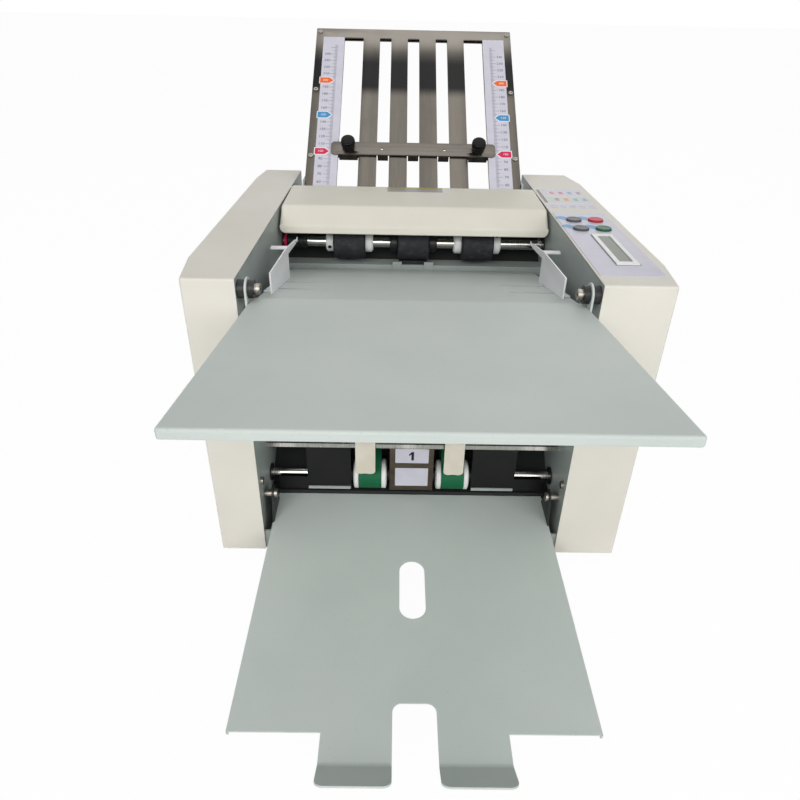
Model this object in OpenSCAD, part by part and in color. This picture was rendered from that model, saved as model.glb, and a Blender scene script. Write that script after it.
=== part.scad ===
// Desk paper folding machine with a sloping feed tray, two slotted fold plates and a front output tray.
// Modules are drawn in the machine's own frame: x from the middle between the side frames, y from the
// front plane of the side covers towards the rear, z up from the table. The last lines centre the result
// on the middle of its outline, so that the origin lies under the machine, on the table.

/* [Housing] */
// Clear width between the two side frames
frame_gap = 255; // [245:1:265]
// Depth of the side covers, front to rear
body_depth = 353; // [350:1:370]
// Height of the covers' top above the table
body_top = 260; // [258:1:268]
// Width of the left cover, outside the frame gap
left_cover_w = 44; // [43:1:60]
// Width of the right cover, outside the frame gap
right_cover_w = 57.5; // [56:0.5:70]
// How far the covers' outer front corners taper in
front_taper = 6; // [3:0.5:7]
// Length of the front taper
front_taper_len = 45; // [30:1:60]
// How far the right cover's rear corner tapers in
rear_taper = 8; // [4:0.5:10]
// Length of the rear taper
rear_taper_len = 45; // [30:1:60]
// Sheet thickness of the covers, trays and guides
sheet = 1.2; // [1:0.1:1.5]
// Thickness of the side frames
frame_t = 3; // [2.5:0.5:4]
// Height of the rubber feet
foot_h = 10; // [8:1:14]
// Radius of the rubber feet
foot_r = 10; // [8:1:14]

/* [Hood] */
// Front bend of the hood, behind the covers' front
hood_front_y = 192; // [188:1:196]
// Rear edge of the hood
hood_rear_y = 262; // [258:1:263]
// Side gap between the hood and each frame
hood_gap = 2.5; // [2.2:0.1:3]
// How far the hood's rear edge stands above the covers
hood_rise = 4; // [2:0.5:5]
// How far the visor drops below the covers' top to its lip
visor_drop = 13; // [12:1:15]
// How far the visor reaches forward
visor_reach = 17; // [15:1:19]
// Height of the lip below the visor
lip_h = 7; // [5:0.5:8]
// Distance of the hood's pivots behind its rear edge
hood_pivot_back = 18; // [17:1:20]

/* [Feed tray and table] */
// Side gap between the feed tray and each frame
tray_gap = 7.5; // [7:0.5:12]
// Reach of the feed tray in front of the covers
tray_reach = 190; // [170:1:210]
// Slope of the feed tray, down to the rear
tray_slope = 6.5; // [5:0.5:7]
// Height of the rolled edge around the feed tray
tray_edge_h = 6; // [4:0.5:8]
// Slope of the inner feed table, down to the rear
table_slope = 12.3; // [12:0.1:12.5]
// Height of the feed tray's pivot screws below the covers' top
tray_pivot_drop = 10; // [9.5:0.5:12]
// Distance of each side guide's face from its frame
guide_inset = 18.5; // [18:0.5:30]
// Length of each side guide's fence
guide_len = 83; // [70:1:90]

/* [Rollers] */
// Radius of the rubber feed rollers
feed_r = 16; // [14:0.5:16]
// Length of each feed roller
feed_len = 30.5; // [26:0.5:34]
// Spacing of the feed rollers
feed_pitch = 62; // [56:1:66]
// Radius of the three outer fold rollers
fold_r = 10; // [10:1:10]
// Radius of the feed shaft
feed_shaft_r = 5; // [4:0.5:6]
// Radius of the fold roller journals and the belt shafts
journal_r = 4; // [3:0.5:4]
// Radial play of a shaft in its bush
shaft_play = 0.05; // [0.02:0.01:0.09]
// Gap in the nip between two rollers
nip_gap = 0.3; // [0.2:0.05:0.5]

/* [Fold plates] */
// Slope of the upper fold plate
plate_angle = 37.2; // [36:0.2:38]
// Width of both fold plates
plate_w = 227; // [210:1:230]
// Length of the upper plate above the level of the hood
plate_len = 232; // [210:1:250]
// Slope of the lower fold plate
low_angle = 58; // [56:1:60]
// Length of the lower fold plate
low_len = 175; // [165:1:180]
// Width of the slats between the slots
slat_w = 19.2; // [17:0.1:21]
// Width of the two outer slots
outer_slot = 22; // [20:0.5:24]
// Width of the three inner slots
inner_slot = 13.3; // [12:0.1:15]
// Width of the bar across the upper end
top_bar = 14.3; // [12:0.1:18]
// Width of the printed scale strips
scale_w = 24.5; // [20:0.5:26]
// How far the stop bars reach past the outer slots' middle
stop_end = 18.7; // [16:0.1:22]
// Width of the stop bar
stop_w = 17.3; // [16:0.1:20]
// Distance of the upper stop bar along the plate
stop_at = 42.9; // [40:0.1:80]
// Radius of the clamp knobs
knob_r = 7.5; // [6:0.5:9]
// Height of the clamp knobs
knob_h = 12; // [9:0.5:14]

/* [Output] */
// Side gap between the output tray and each frame
out_gap = 7.5; // [7:0.5:16]
// Length of the output tray to its front edge
out_len = 221; // [200:1:240]
// Slope of the output tray, down to the front
out_slope = 3.2; // [2:0.1:4]
// Length of the tongues in front of the edge
tongue_len = 20; // [16:1:26]
// Length of the bent tips of the tongues
tip_len = 22; // [16:1:26]
// Upward bend of the tips
tip_angle = 35; // [25:1:45]
// Width of each tongue
tongue_w = 45.5; // [40:0.5:50]
// Width of the notch between the tongues
notch_w = 29; // [24:1:34]
// Width of the oval slot
oval_w = 20; // [16:1:24]
// Length of the oval slot
oval_len = 56; // [50:1:62]
// Radius of the white belt pulleys over their flanges
pulley_r = 13.5; // [13:0.1:14]
// Width of the white belt pulleys
pulley_w = 30; // [28:0.5:31]
// Width of the green belts
belt_w = 20; // [18:0.5:21]
// Distance of each belt from the middle
belt_x = 37; // [37:0.5:38]

/* [Control panel] */
// Radius of the push buttons
button_r = 6.8; // [6:0.1:7]
// Height of the push buttons above the panel
button_h = 2; // [1.5:0.1:3]
// Distance between the two columns of buttons
button_dx = 19.6; // [18:0.1:20.4]
// Distance between the two rows of buttons
button_dy = 27; // [24:0.5:27.5]
// Length of the display frame
display_len = 75; // [70:1:76]
// Width of the display frame
display_w = 17.5; // [16:0.5:19]

/* [Hidden] */
$fn = 64;
eps = 0.01;

// Colours as the machine shows them
beige = [0.87, 0.855, 0.81];
grey_green = [0.67, 0.70, 0.68];
wall_grey = [0.36, 0.39, 0.38];
steel = [0.66, 0.65, 0.63];
chrome = [0.8, 0.8, 0.8];
black = [0.07, 0.07, 0.08];
white = [0.94, 0.94, 0.93];
cream = [0.89, 0.87, 0.80];
green = [0.06, 0.45, 0.26];

// Frames and base
half = frame_gap / 2;
frame_out = half + frame_t;
base_t = 1.5;
frame_bottom = foot_h + base_t;
frame_top = body_top - sheet;
frame_front = sheet;
frame_rear = body_depth - sheet;
left_out = half + left_cover_w;
right_out = half + right_cover_w;
base_gap = 0.8;
right_front_taper = front_taper - 0.5;
left_rear_taper = 3.5;
flange_h = 18;

// Fold rollers, all around the thicker second roller. The first nip lies on the upper plate's plane.
plate_cross_y = hood_rear_y + 8;
nip_back = 37.7;
main_r = 12;
gear_module = 1;
fold_teeth = 20;
main_teeth = 24;
roller_pitch = gear_module * (fold_teeth + main_teeth) / 2;
nip = [plate_cross_y - nip_back * cos(plate_angle), body_top - nip_back * sin(plate_angle)];
roller_2 = nip + main_r * [sin(plate_angle), -cos(plate_angle)];
roller_1 = roller_2 + polar(roller_pitch, plate_angle + 90);
roller_3 = roller_2 + polar(roller_pitch, 20);
roller_4 = roller_2 + polar(roller_pitch, -75);
roller_half = half - 5.5;

// Feed shaft, driven by a second gear on the main roller
feed_gear_teeth = 62;
feed_drive_teeth = 32;
feed_dist = gear_module * (feed_gear_teeth + feed_drive_teeth) / 2;
feed_z = body_top - 35;
feed_axis = [roller_2[0] - sqrt(feed_dist * feed_dist - pow(roller_2[1] - feed_z, 2)), feed_z];

// Belts that carry the folded sheet to the front
front_axis = [50, 57];
rear_axis = [205, body_top - 85];
belt_t = 1.2;
belt_gap = 0.3;
belt_in_r = pulley_r - belt_t - 0.1;
groove_r = belt_in_r - belt_gap;
belt_slope = atan2(rear_axis[1] - front_axis[1], rear_axis[0] - front_axis[0]);

// Drive on the right and on the left of the frames
gear_w = 8;
plane_a = frame_out + 2;
plane_b = plane_a + gear_w + 1;
plane_c = plane_b + gear_w + 1.5;
motor_axis = [232, 62];
motor_r = 30;
motor_len = 76;
motor_pulley_r = 10;
main_pulley_r = 20;
exit_pulley_r = 14;
drive_belt_t = 1.5;
drive_belt_w = 7;
backlash = 0.25;

// Feed tray and feed table
tray_pivot = [8, body_top - tray_pivot_drop];
tray_w = frame_gap - 2 * tray_gap;
ear_r = 8.5;
ear_t = 1.5;
ear_x = tray_w / 2;
tray_rear_y = 14;
tray_top_z = tray_pivot[1] - ear_r;
table_front_y = 17;
table_rear_y = feed_axis[0] - 14.5;
table_t = 1.5;
table_half = half - 10.5;
table_front_z = tray_top_z - 2.3;
table_rod = [22, table_front_z - 10.2];
table_rod_r = 3;
stop_rod_r = 4;
stop_rod_y = 175;
spacer_r = 6.6;
screw_r = 2.5;

// Side guides
guide_y = 35;
guide_top = [tray_pivot[1] + 2, tray_pivot[1] - 4];
guide_arm_y = 163;
guide_slot_y = [60, 95];
slide_gap = 0.2;

// Hood
hood_half = half - hood_gap;
hood_pivot = [hood_rear_y + hood_pivot_back, body_top - 10];
hood_pin_r = 2.5;
visor_y = hood_front_y - visor_reach;
visor_z = body_top - visor_drop;

// Fold plates
plate_half = plate_w / 2;
opening_w = 2 * outer_slot + 4 * slat_w + 3 * inner_slot;
plate_low = -22;
slot_low = -8;
channel = 2.6;
plate_t = 2 * sheet + channel;
low_origin = roller_3 + [1.5, -25.1];
low_slot_start = 14;
low_slot_end = low_len - 12;
low_stop_at = 100;
scale_t = 0.4;
stop_t = 1.5;
stop_lift = scale_t + slide_gap;
stud_r = 2.5;
knob_x = opening_w / 2 - outer_slot / 2;
stop_len = 2 * (knob_x + stop_end);

// Output tray and what hangs above it
out_w = frame_gap - 2 * out_gap;
out_rear = [41.7, 39.1];
out_pin = [16, 60];
out_pin_r = 3;
bar_y = 40;
panel_y = 24;
panel_low = 111;
bar_z = 92;
bar_h = 4;
bar_d = 10;
press_axis = [40, 104];
press_rod_r = 3;
arm_w = 17;
arm_x = 38.6;
arm_shift = -2;
arm_low = 13;
panel_z = 46;
label_half = 19.4;

// Control panel
panel_t = 0.4;
membrane_x = [1.7, 49.5];
membrane_y = [19, 187];
button_x = half + 15.5;
button_y = 134;
display_x = half + 28.8;
display_y = 80;
button_travel = 1.2;
button_play = 0.3;
board_z = body_top - 20;
switch_h = 7;

// Power inlet with its switch, in the left cover's rear wall
inlet_x = -(half + 22);
inlet_z = 70;
inlet_w = 27;
inlet_h = 20;
rocker_z = 104;

// Outline of the whole machine
tip_y = out_rear[0] - (out_len + tongue_len) * cos(out_slope) - tip_len * cos(tip_angle - out_slope);
plate_end_y = plate_cross_y + plate_len * cos(plate_angle) + plate_t * sin(plate_angle);
mid_x = (right_out - left_out) / 2;
mid_y = (tip_y + plate_end_y) / 2;

function polar(r, a) = [r * cos(a), r * sin(a)];
function table_z(y) = table_front_z - (y - table_front_y) * tan(table_slope);
function tray_z(y) = tray_top_z - (y - tray_pivot[0]) * tan(tray_slope);
function out_z(y) = out_rear[1] - (out_rear[0] - y) * tan(out_slope);
function slot_x(i) = i == 0 ? -opening_w / 2
    : -opening_w / 2 + outer_slot + slat_w + (i - 1) * (slat_w + inner_slot);
function slot_w(i) = i == 0 || i == 4 ? outer_slot : inner_slot;

// Rest angle of a gear that meshes with another whose rest angle is known
function mesh_angle(c1, z1, a1, c2, z2) =
    let (line = atan2(c2[1] - c1[1], c2[0] - c1[0])) line + 180 + (z1 * (line - a1) - 180) / z2;

// Involute gear outline with 20 degree flanks
function inv(a) = tan(a) * 180 / PI - a;
function flank(z, r) =
    let (rp = gear_module * z / 2, rb = rp * cos(20))
    90 / z - backlash / 2 / rp * 180 / PI + inv(20) - inv(acos(min(1, rb / r)));
function gear_points(z) =
    let (rp = gear_module * z / 2, rf = rp - 1.25 * gear_module, ra = rp + gear_module,
        r0 = max(rp * cos(20), rf))
    [for (i = [0 : z - 1], s = [-1, 1], k = s < 0 ? [0, 1, 2, 3] : [3, 2, 1, 0])
        let (r = [rf, r0 + eps, rp, ra][k], h = flank(z, max(r, r0 + eps)))
        polar(r, 360 * i / z + s * h)];

// ---- Helpers ----

// Extrudes a flat shape drawn in (y, z) along x, from x0 to x1
module along_x(x0, x1) {
    translate([x0, 0, 0]) rotate([90, 0, 90]) linear_extrude(x1 - x0) children();
}

module rod(r, x0, x1, at) {
    translate([x0, at[0], at[1]]) rotate([0, 90, 0]) cylinder(r = r, h = x1 - x0);
}

module both_sides() {
    children();
    mirror([1, 0, 0]) children();
}

module block(x, y, z) {
    translate([x[0], y[0], z[0]]) cube([x[1] - x[0], y[1] - y[0], z[1] - z[0]]);
}

// A loop shape round two circles, as a belt runs
module loop_shape(c1, r1, c2, r2) {
    d = c2 - c1;
    a = atan2(d[1], d[0]);
    b = acos((r1 - r2) / norm(d));
    translate(c1) circle(r1);
    translate(c2) circle(r2);
    polygon([c1 + polar(r1, a + b), c2 + polar(r2, a + b), c2 + polar(r2, a - b), c1 + polar(r1, a - b)]);
}

module belt_loop(c1, r1, c2, r2, t) {
    difference() {
        loop_shape(c1, r1 + t, c2, r2 + t);
        loop_shape(c1, r1, c2, r2);
    }
}

module gear(z, at, angle, x0, x1) {
    along_x(x0, x1) translate(at) rotate(angle) polygon(gear_points(z));
}

// A strip of sheet along the points of a bent profile, t thick on its left side, mitred at its bends
module bent_strip(points, t) {
    last = len(points) - 1;
    side = [for (i = [0 : last - 1]) let (d = points[i + 1] - points[i]) [-d[1], d[0]] / norm(d)];
    inner = [for (i = [last : -1 : 0]) let (a = side[max(0, i - 1)], b = side[min(last - 1, i)])
        points[i] + t * (a + b) / (1 + a * b)];
    polygon(concat(points, inner));
}

module in_upper_plate() {
    translate([0, plate_cross_y, body_top]) rotate([plate_angle, 0, 0]) children();
}

module in_lower_plate() {
    translate([0, low_origin[0], low_origin[1]]) rotate([-low_angle, 0, 0]) children();
}

module in_output_tray() {
    translate([0, out_rear[0], out_rear[1]]) rotate([out_slope, 0, 0]) children();
}

// ---- Housing ----

module cover_shape(w, front, rear, inset) {
    polygon([[half, inset], [half + w - front - inset, inset], [half + w - inset, front_taper_len],
        [half + w - inset, body_depth - rear_taper_len], [half + w - rear - inset, body_depth - inset],
        [half, body_depth - inset]]);
}

module cover_shell(w, front, rear) {
    translate([0, 0, foot_h]) difference() {
        linear_extrude(body_top - foot_h) cover_shape(w, front, rear, 0);
        translate([-1, 0, -1]) linear_extrude(body_top - foot_h - sheet + 1) {
            translate([1, 0]) cover_shape(w, front, rear, sheet);
            translate([half, sheet]) square([1 + eps, body_depth - 2 * sheet]);
        }
    }
}

module left_cover() {
    color(beige) difference() {
        mirror([1, 0, 0]) cover_shell(left_cover_w, front_taper, left_rear_taper);
        inlet_hole(0.2);
    }
}

module right_cover() {
    color(beige) difference() {
        cover_shell(right_cover_w, right_front_taper, rear_taper);
        panel_holes(button_r + button_play);
    }
}

// Panel openings for the buttons and the display
module panel_holes(r) {
    for (i = [0, 1], j = [0, 1])
        translate([button_x + i * button_dx, button_y + j * button_dy, body_top - 5])
            cylinder(r = r, h = 10);
    display_block(3, 4, [body_top - 5, body_top + 5]);
}

module inlet_hole(gap) {
    block([inlet_x - inlet_w / 2 - gap, inlet_x + inlet_w / 2 + gap],
        [body_depth - 8, body_depth + 8], [inlet_z - inlet_h / 2 - gap, rocker_z + 8 + gap]);
}

module base_pan() {
    edge = sheet + base_gap;
    color(wall_grey) {
        translate([0, 0, foot_h]) linear_extrude(base_t) difference() {
            union() {
                cover_shape(right_cover_w, right_front_taper, rear_taper, edge);
                mirror([1, 0]) cover_shape(left_cover_w, front_taper, left_rear_taper, edge);
                translate([-half - 1, edge]) square([frame_gap + 2, body_depth - 2 * edge]);
            }
            for (i = [0 : 5]) translate([-60, 110 + 14 * i]) square([120, 4]);
        }
        block([-half, half], [edge, edge + base_t], [frame_bottom, frame_bottom + flange_h]);
    }
}

module frame_plate() {
    along_x(half, frame_out) difference() {
        translate([frame_front, frame_bottom])
            square([frame_rear - frame_front, frame_top - frame_bottom]);
        for (b = bush_list()) translate(b[0]) circle(b[1] + bush_wall);
        translate(tray_pivot) circle(screw_r);
        translate(press_axis) circle(press_rod_r + shaft_play);
        children();
    }
}

module left_frame() {
    color(wall_grey) mirror([1, 0, 0]) frame_plate();
}

module right_frame() {
    color(wall_grey) frame_plate() translate(motor_axis) circle(8);
}

module rear_panel() {
    color(wall_grey) block([-half, half], [frame_rear - sheet, frame_rear], [frame_bottom, 46]);
}

module front_panel() {
    color(grey_green) {
        block([-half, half], [panel_y, panel_y + sheet], [panel_low, table_rod[1] - 7]);
        block([-half, half], [panel_y, panel_y + 2], [panel_low, panel_low + sheet]);
    }
}

module rubber_feet() {
    color(black) for (x = [-(half + 20), half + 26], y = [32, body_depth - 32]) translate([x, y, 0]) {
        cylinder(r1 = foot_r - 1, r2 = foot_r, h = 2);
        translate([0, 0, 2]) cylinder(r = foot_r, h = foot_h - 2);
    }
}

tie_r = 4;
tie_inset = 17;
tie_list = [[110, frame_bottom + 18.5], [frame_rear - tie_inset, body_top - 47], [62, body_top - 60]];

module cross_rods() {
    color(chrome) {
        for (p = tie_list) rod(tie_r, -half, half, p);
        rod(table_rod_r, -half, half, table_rod);
        rod(stop_rod_r, -half, half, table_stop());
        block([-half, half], [bar_y, bar_y + bar_d], [bar_z, bar_z + bar_h]);
    }
}

function table_stop() =
    [stop_rod_y, table_z(stop_rod_y) - (table_t + slide_gap + stop_rod_r) / cos(table_slope)];

bush_wall = 2.5;
bush_flange = 4;
bush_flange_t = 1.5;
function bush_list() = [[feed_axis, feed_shaft_r], [roller_1, journal_r], [roller_2, journal_r],
    [roller_3, journal_r], [roller_4, journal_r], [front_axis, journal_r], [rear_axis, journal_r]];

module shaft_bushes() {
    color(cream) both_sides() for (b = bush_list()) difference() {
        union() {
            rod(b[1] + bush_wall, half, frame_out, b[0]);
            rod(b[1] + bush_flange, half - bush_flange_t, half, b[0]);
        }
        rod(b[1] + shaft_play, half - 5, frame_out + 5, b[0]);
    }
}

// Screw heads with a cross recess, looking along +x at x
module screw_head(r, h) {
    difference() {
        cylinder(r = r, h = h);
        for (a = [0, 90]) rotate(a) translate([-r * 0.6, -0.5, h - 0.8]) cube([r * 1.2, 1, 2]);
    }
}

module screws() {
    color(chrome) {
        // Tray pivot screws, through washer, ear, spacer and frame
        both_sides() {
            rod(screw_r, washer_x, frame_out, tray_pivot);
            translate([washer_x, tray_pivot[0], tray_pivot[1]]) rotate([0, -90, 0]) screw_head(4, 4);
        }
        // Screws on the inner walls
        both_sides() translate([half, 9, 79]) rotate([0, -90, 0]) screw_head(3.2, 2.4);
        // Screws on the covers' outer sides
        for (y = cover_screw_y, z = cover_screw_z) {
            translate([right_out, y, z]) rotate([0, 90, 0]) screw_head(3.5, 1.6);
            translate([-left_out, y, z]) rotate([0, -90, 0]) screw_head(3.5, 1.6);
        }
        // Screws on the upper fold plate's side bars
        in_upper_plate() for (x = [-1, 1], y = plate_screw_list)
            translate([x * (plate_half - 4.2), y, 0]) screw_head(2.4, 1);
    }
}

plate_screw_list = [42, 136, plate_len - 6];
cover_screw_y = [90, body_depth - 83];
cover_screw_z = [foot_h + 18, body_top - 35];
washer_w = 4.2;
washer_x = ear_x - slide_gap - washer_w;

module tray_spacers() {
    color(black) both_sides() {
        difference() {
            rod(spacer_r, washer_x, ear_x - slide_gap, tray_pivot);
            rod(screw_r, washer_x - 1, ear_x + 1, tray_pivot);
        }
        difference() {
            rod(spacer_r, ear_x + ear_t + slide_gap, half, tray_pivot);
            rod(screw_r, ear_x, half + 1, tray_pivot);
        }
    }
}

module hinge_pins() {
    color(chrome) both_sides() {
        // Hood pivots
        rod(hood_pin_r, hood_half - sheet - slide_gap, half, hood_pivot);
        rod(4, hood_half - sheet - slide_gap - 2, hood_half - sheet - slide_gap, hood_pivot);
        // Output tray pins
        rod(out_pin_r, out_w / 2 - sheet - slide_gap, half, out_pin);
        rod(4, out_w / 2 - sheet - slide_gap - 2.5, out_w / 2 - sheet - slide_gap, out_pin);
        // Rests under the hood's cheeks
        rod(2, hood_half - sheet - 1, half, [feed_axis[0] + 5, visor_z - 4 - slide_gap]);
        // Stops behind the feed tray's ears
        rod(2, ear_x - 1, half, [tray_pivot[0] + ear_r + 2 + slide_gap, tray_pivot[1] - 8]);
    }
}

// ---- Feed path ----

sep_y = [feed_axis[0] - 8, feed_axis[0] + 9];
sep_top = feed_axis[1] - feed_r - 4;

module separator_bar() {
    color(wall_grey) {
        block([-half, half], sep_y, [sep_top - sheet, sep_top]);
        block([-half, half], [sep_y[0], sep_y[0] + sheet], [sep_top - 20, sep_top]);
        block([-half, half], [sep_y[1] - sheet, sep_y[1]], [sep_top - 12, sep_top]);
        both_sides()
            block([11, 20], [sep_y[0] - sheet, sep_y[0]], [sep_top - 16, feed_axis[1] - feed_r - 0.6]);
    }
}

module separator_pad() {
    color(black) block([-14, 14], [sep_y[0] + 2, sep_y[1] - 2], [sep_top, feed_axis[1] - feed_r - nip_gap]);
}

module infeed_guide() {
    start = [sep_y[1] + sheet, sep_top - 2];
    color(steel) along_x(-half, half)
        bent_strip([start - [0, 10], start, roller_2 + polar(main_r + 4.5, 192)], sheet);
}

module feed_shaft() {
    color(chrome) {
        rod(feed_shaft_r, -(frame_out + 3), plane_b + gear_w + 1, feed_axis);
        gear(feed_gear_teeth, feed_axis,
            mesh_angle(roller_2, feed_drive_teeth, 0, feed_axis, feed_gear_teeth),
            plane_b, plane_b + gear_w);
    }
}

module sleeve(r, x0, x1, at, bore) {
    difference() {
        rod(r, x0, x1, at);
        rod(bore, x0 - 1, x1 + 1, at);
    }
}

module feed_rollers() {
    color(black) for (i = [-1 : 1]) {
        x = i * feed_pitch;
        sleeve(feed_r, x - feed_len / 2, x + feed_len / 2, feed_axis, feed_shaft_r);
    }
}

collar_r = 9.5;
collar_w = 7.5;

module feed_collars() {
    color(white) for (i = [-1, 1], s = [-1, 1]) {
        x = i * feed_pitch + s * (feed_len + collar_w) / 2;
        sleeve(collar_r, x - collar_w / 2, x + collar_w / 2, feed_axis, feed_shaft_r);
    }
    color(black) for (s = [-1, 1]) {
        x = s * (feed_len + collar_w) / 2;
        sleeve(collar_r - 1, x - collar_w / 2, x + collar_w / 2, feed_axis, feed_shaft_r);
    }
}

module fold_roller(at, r, x0, x1) {
    color(steel) {
        rod(r - nip_gap / 2, -roller_half, roller_half, at);
        rod(journal_r, x0, -roller_half, at);
        rod(journal_r, roller_half, x1, at);
    }
}

module outer_roller(at) {
    fold_roller(at, fold_r, -(frame_out + 2), plane_a + gear_w + 0.5);
    color(black) gear(fold_teeth, at, mesh_angle(roller_2, main_teeth, 0, at, fold_teeth),
        plane_a, plane_a + gear_w);
}

module fold_roller_1() {
    outer_roller(roller_1);
}

module fold_roller_2() {
    left_end = frame_out + 13;
    fold_roller(roller_2, main_r, -left_end, plane_c + gear_w + 1);
    color(black) {
        gear(main_teeth, roller_2, 0, plane_a, plane_a + gear_w);
        gear(feed_drive_teeth, roller_2, 0, plane_b, plane_b + gear_w);
        rod(main_pulley_r, plane_c, plane_c + gear_w, roller_2);
        rod(exit_pulley_r, -left_end + 1, -left_end + 1 + gear_w, roller_2);
    }
}

module fold_roller_3() {
    outer_roller(roller_3);
}

module fold_roller_4() {
    outer_roller(roller_4);
}

module drive_motor() {
    color(black) {
        rod(motor_r, half - motor_len, half - 4, motor_axis);
        rod(motor_r - 6, half - motor_len - 8, half - motor_len, motor_axis);
        difference() {
            rod(motor_r + 2, half - 4, half, motor_axis);
            rod(7, half - 5, half + 1, motor_axis);
        }
    }
}

module motor_pulley() {
    color(steel) {
        rod(journal_r, half - 4 + slide_gap, plane_c + gear_w + 1, motor_axis);
        rod(motor_pulley_r, plane_c, plane_c + gear_w, motor_axis);
    }
}

module drive_belts() {
    x0 = plane_c + (gear_w - drive_belt_w) / 2;
    left = -(frame_out + 12) + (gear_w - drive_belt_w) / 2;
    color(black) {
        along_x(x0, x0 + drive_belt_w) belt_loop(motor_axis, motor_pulley_r + belt_gap,
            roller_2, main_pulley_r + belt_gap, drive_belt_t);
        along_x(left, left + drive_belt_w) belt_loop(rear_axis, exit_pulley_r + belt_gap,
            roller_2, exit_pulley_r + belt_gap, drive_belt_t);
    }
}

// ---- Feed tray, table and guides ----

module feed_tray() {
    front = [-tray_reach, tray_z(-tray_reach)];
    color(grey_green) {
        difference() {
            union() {
                // The tray's sheet, with its edges rolled down
                along_x(-tray_w / 2, tray_w / 2) {
                    polygon([front, [tray_rear_y, tray_z(tray_rear_y)],
                        [tray_rear_y, tray_z(tray_rear_y) - sheet], front - [0, sheet]]);
                    polygon([front + [0, -1.5], front, front + [sheet, -0.2], front + [sheet, -tray_edge_h],
                        front + [0, -tray_edge_h]]);
                }
                both_sides() along_x(tray_w / 2 - sheet, tray_w / 2) polygon([front, [-4, tray_z(-4)],
                    [-4, tray_z(-4) - tray_edge_h], front - [0, tray_edge_h]]);
                // Ears beside the tray's rear end
                both_sides() along_x(ear_x - eps, ear_x + ear_t) {
                    translate(tray_pivot) circle(ear_r);
                    polygon([[tray_pivot[0] - ear_r, tray_pivot[1]], [tray_pivot[0] + ear_r, tray_pivot[1]],
                        [tray_pivot[0] + ear_r, tray_z(tray_rear_y) - tray_edge_h],
                        [tray_pivot[0] - ear_r, tray_z(-4) - tray_edge_h]]);
                }
            }
            both_sides() rod(screw_r + shaft_play, ear_x - 1, ear_x + ear_t + 1, tray_pivot);
        }
    }
}

module feed_table() {
    y0 = table_front_y;
    y1 = table_rear_y;
    lug_x = table_half - table_t;
    lug_y = 165;
    color(grey_green) difference() {
        union() {
            along_x(-table_half, table_half) polygon([[y0, table_z(y0)], [y1, table_z(y1)],
                [y1, table_z(y1) - table_t], [y0, table_z(y0) - table_t]]);
            both_sides() along_x(lug_x, table_half) {
                polygon([[y0, table_z(y0)], [lug_y, table_z(lug_y)], [lug_y, table_z(lug_y) - 8],
                    [table_rod[0] + 7, table_rod[1] - 2], [table_rod[0] - 4, table_rod[1] - 2]]);
                translate(table_rod) circle(table_rod_r + 3);
            }
        }
        both_sides() rod(table_rod_r + shaft_play, lug_x - 1, table_half + 1, table_rod);
        // Slots in which the side guides run
        both_sides() for (y = guide_slot_y)
            block([72, table_half - 2], [y, y + 4], [table_z(y) - 10, table_z(y) + 5]);
    }
}

module side_guide() {
    x0 = half - guide_inset;
    y1 = guide_y + guide_len;
    lift = slide_gap / cos(table_slope);
    top = [guide_top[0], guide_top[1]];
    color(steel) {
        along_x(x0, x0 + sheet) polygon([[guide_y, table_z(guide_y) + lift], [guide_y, top[0]],
            [y1 - 6, top[1]], [guide_arm_y, top[1] - 8.4], [guide_arm_y, top[1] - 12],
            [y1, top[1] - 7], [y1, table_z(y1) + lift]]);
        // Foot on the feed table
        along_x(x0 + sheet - eps, x0 + 8) polygon([[guide_y + 8, table_z(guide_y + 8) + lift],
            [y1 - 4, table_z(y1 - 4) + lift], [y1 - 4, table_z(y1 - 4) + lift + sheet],
            [guide_y + 8, table_z(guide_y + 8) + lift + sheet]]);
        // Pegs that run in the table's slots
        for (y = guide_slot_y) block([x0 + 2, x0 + 5], [y + 0.5, y + 3.5],
            [table_z(y) - table_t - 3, table_z(y) + 1]);
        // Tab bent outwards at the top
        block([x0, x0 + 14], [y1 - 6, y1], [top[1] - sheet, top[1]]);
    }
}

module left_side_guide() {
    mirror([1, 0, 0]) side_guide();
}

module right_side_guide() {
    side_guide();
}

// ---- Hood ----

module hood() {
    profile = [[hood_rear_y, body_top + hood_rise], [hood_front_y, body_top + hood_rise / 2],
        [visor_y, visor_z], [visor_y - 1, visor_z - lip_h]];
    color(beige) difference() {
        union() {
            along_x(-hood_half, hood_half) bent_strip([profile[0], profile[1], profile[2]], sheet);
            // Lip with rounded lower corners
            translate([0, visor_y, visor_z]) rotate([90 - atan(1 / lip_h), 0, 0])
                translate([0, -lip_h, -sheet]) linear_extrude(sheet) {
                    translate([-hood_half + lip_h, 0]) square([2 * (hood_half - lip_h), lip_h + eps]);
                    for (s = [-1, 1]) translate([s * (hood_half - lip_h), lip_h]) intersection() {
                        circle(lip_h);
                        translate([-lip_h, -lip_h]) square([2 * lip_h, lip_h + eps]);
                    }
                }
            // Side cheeks that run back to the pivots
            both_sides() along_x(hood_half - sheet, hood_half) {
                polygon([profile[0], profile[1], profile[2], [visor_y, visor_z - 2],
                    [feed_axis[0] + 12, visor_z - 2], [feed_axis[0] + 18, body_top - 9],
                    [hood_pivot[0], body_top - 9], hood_pivot + [0, 6], [hood_rear_y, body_top - 2]]);
                translate(hood_pivot) circle(6);
            }
        }
        both_sides() rod(hood_pin_r + shaft_play, hood_half - 3, hood_half + 1, hood_pivot);
    }
}

// ---- Fold plates ----

module slots(y0, y1) {
    for (i = [0 : 4]) translate([slot_x(i), y0]) square([slot_w(i), y1 - y0]);
}

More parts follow.
